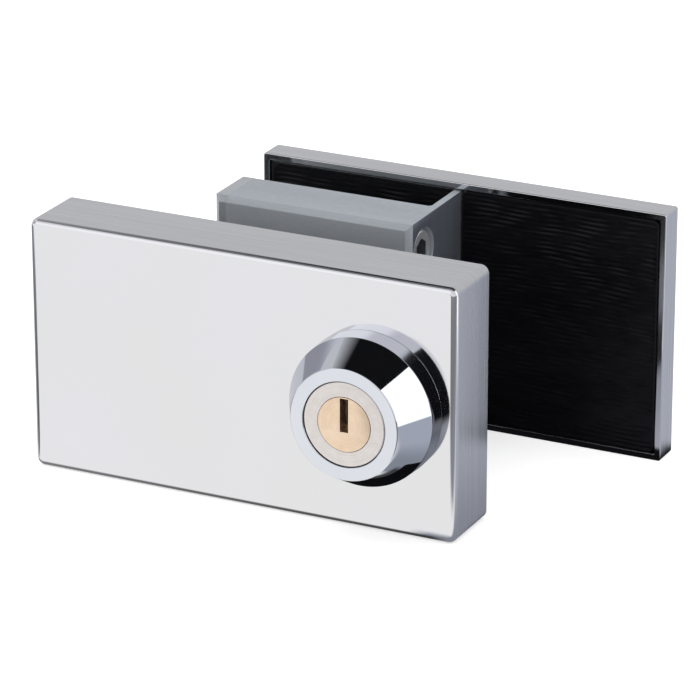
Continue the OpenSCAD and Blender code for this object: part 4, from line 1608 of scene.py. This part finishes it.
@dataclass
class Studio:
    """Camera, world, floor, lamp and the cards that polished metal sees."""

    colors: StudioColors = StudioColors()
    eye: Point = (0.40636, -0.82568, 0.38288)
    target: Point = (0.0163, -0.02945, 0.04173)
    roll: float = -0.03
    lens: float = 223.4
    sensor: float = 36.0
    clip: Pair = (0.05, 50)
    ahead_way: Point = (0.0, 1.0, 0.0)
    ahead_ends: Pair = (-0.5, 0.6)
    left_way: Point = (-0.874, -0.451, 0.18)
    left_ends: Pair = (0.87, 0.99)
    front_way: Point = (-0.41, -0.905, 0.11)
    front_ends: Pair = (0.90, 0.95)
    late_in_sky: float = 3.5
    late_on_stage: float = 1.5
    floor_half: float = 4.0
    floor_z: float = -0.02 * MM
    floor_grey: Color = rgb(0.8, 0.8, 0.8)
    floor_glow: float = 0.55
    lamp_place: Point = (-0.5, -0.35, 1.5)
    lamp_aim: Point = (0, 0, 0.03)
    lamp_size: float = 0.9
    lamp_power: float = 3.5

    def build(self) -> None:
        """Sets the whole studio up."""
        self.build_camera()
        self.build_world()
        self.build_floor()
        self.build_cards()
        self.build_lamp()
        bpy.context.scene.view_settings.view_transform = "Standard"

    def build_camera(self) -> None:
        """The camera at the photograph's angle."""
        data = bpy.data.cameras.new("camera")
        data.lens = self.lens
        data.sensor_width = self.sensor
        data.clip_start, data.clip_end = self.clip
        camera = add_object("camera", data)
        look = (Vector(self.target) - Vector(self.eye)).to_track_quat("-Z", "Y").to_matrix().to_4x4()
        turn = Matrix.Rotation(math.radians(self.roll), 4, "Z")
        camera.matrix_world = Matrix.Translation(self.eye) @ look @ turn
        bpy.context.scene.camera = camera

    def build_world(self) -> None:
        """White for the camera and for soft light, a middle grey for what metal mirrors once or twice,
        and painted shade for what it mirrors more often.
        """
        world = bpy.data.worlds.new("studio")
        bpy.context.scene.world = world
        world.use_nodes = True
        tree, colors = Tree(world.node_tree), self.colors
        path = tree.add("ShaderNodeLightPath").outputs
        late = tree.math("GREATER_THAN", path["Ray Depth"], self.late_in_sky)
        way = tree.add("ShaderNodeTexCoord").outputs["Generated"]
        ahead = tree.spread(tree.vector("DOT_PRODUCT", way, self.ahead_way), *self.ahead_ends, 1.0, 0.0)
        spots = ((self.left_way, self.left_ends), (self.front_way, self.front_ends))
        left, front = (tree.spread(tree.vector("DOT_PRODUCT", way, spot), *ends, kind="SMOOTHSTEP")
                       for spot, ends in spots)
        ahead_color = tree.mix(front, colors.room_ahead, colors.low_white)
        room = tree.mix(left, tree.mix(ahead, colors.room, ahead_color), colors.grey_left)
        # Painted shade: rays mirrored more than late_in_sky times meet the dark deep colour.
        mirrored = tree.mix(late, room, colors.deep)
        sky = tree.mix(path["Is Glossy Ray"], WHITE, mirrored)
        tree.feed(world.node_tree.nodes["Background"].inputs["Color"], sky)

    def build_floor(self) -> None:
        """A white floor that keeps the shadow, and that metal sees with painted shade close to the lock."""
        half = self.floor_half
        floor = sheet_object("floor", (-half, -half, 0), (half, half, 0))
        floor.location.z = self.floor_z
        surface = StageMaterial("floor")
        path = surface.add("ShaderNodeLightPath").outputs
        diffuse = surface.add("ShaderNodeBsdfDiffuse", {"Color": self.floor_grey}).outputs[0]
        glow = surface.glow(WHITE, self.floor_glow)
        seen = surface.add("ShaderNodeAddShader", {0: diffuse, 1: glow}).outputs[0]
        late = surface.math("GREATER_THAN", path["Ray Depth"], self.late_on_stage)
        mirrored = surface.glow(FloorPaintedLightAndShade(surface, self.colors).build(late))
        plain = surface.switch(path["Is Camera Ray"], diffuse, seen)
        surface.stage(floor, surface.switch(path["Is Glossy Ray"], plain, mirrored))

    def build_cards(self) -> None:
        """The softbox at the right, the flags overhead and the dark side behind the camera."""
        colors = self.colors
        for card in (
                Card("softbox_right", colors.lamp_white, (0.60, -0.16, 0.0), (0.60, 0.08, 0.72)),
                Card("flag_above", colors.black, (-0.50, -0.10, 0.6), (0.50, 0.22, 0.6),
                     fade=(-0.50, -0.22), fade_from=colors.room),
                Card("flag_front", colors.flag_grey, (-0.44, -0.42, 0.6), (0.50, -0.10, 0.6)),
                # Painted shade: rays mirrored more than once meet this card black.
                Card("flag_ahead", colors.black, (0.16, -0.62, 0.0), (0.75, -0.62, 0.46),
                     first=colors.room_ahead)):
            card.build(self.late_on_stage)

    def build_lamp(self) -> None:
        """One large soft lamp from the upper left, which gives the floor its shadow."""
        data = bpy.data.lights.new("key", "AREA")
        data.shape = "DISK"
        data.size = self.lamp_size
        data.energy = self.lamp_power
        lamp = add_object("key", data)
        lamp.location = self.lamp_place
        lamp.rotation_euler = (Vector(self.lamp_aim) - lamp.location).to_track_quat("-Z", "Y").to_euler()
        lamp.visible_glossy = False


def main() -> None:
    """Builds and dresses the lock, then the studio."""
    logging.basicConfig(level=logging.INFO, format="%(name)s: %(message)s")
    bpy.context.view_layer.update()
    axis = lock_axis()
    finishes = Finishes(tuple(axis))
    FrontCover(finishes, "front_cover", Body.FRONT, Facing.FRONT, corner=2 * MM, edge=1.4 * MM).build()
    PressedCover(finishes, "rear_cover", Body.REAR, Facing.BACK).build()
    KeySide(finishes).build()
    RubberPads(finishes).build()
    CaseSide(finishes).build()
    InnerParts(finishes).build()
    Studio().build()


if __name__ == "__main__":
    main()
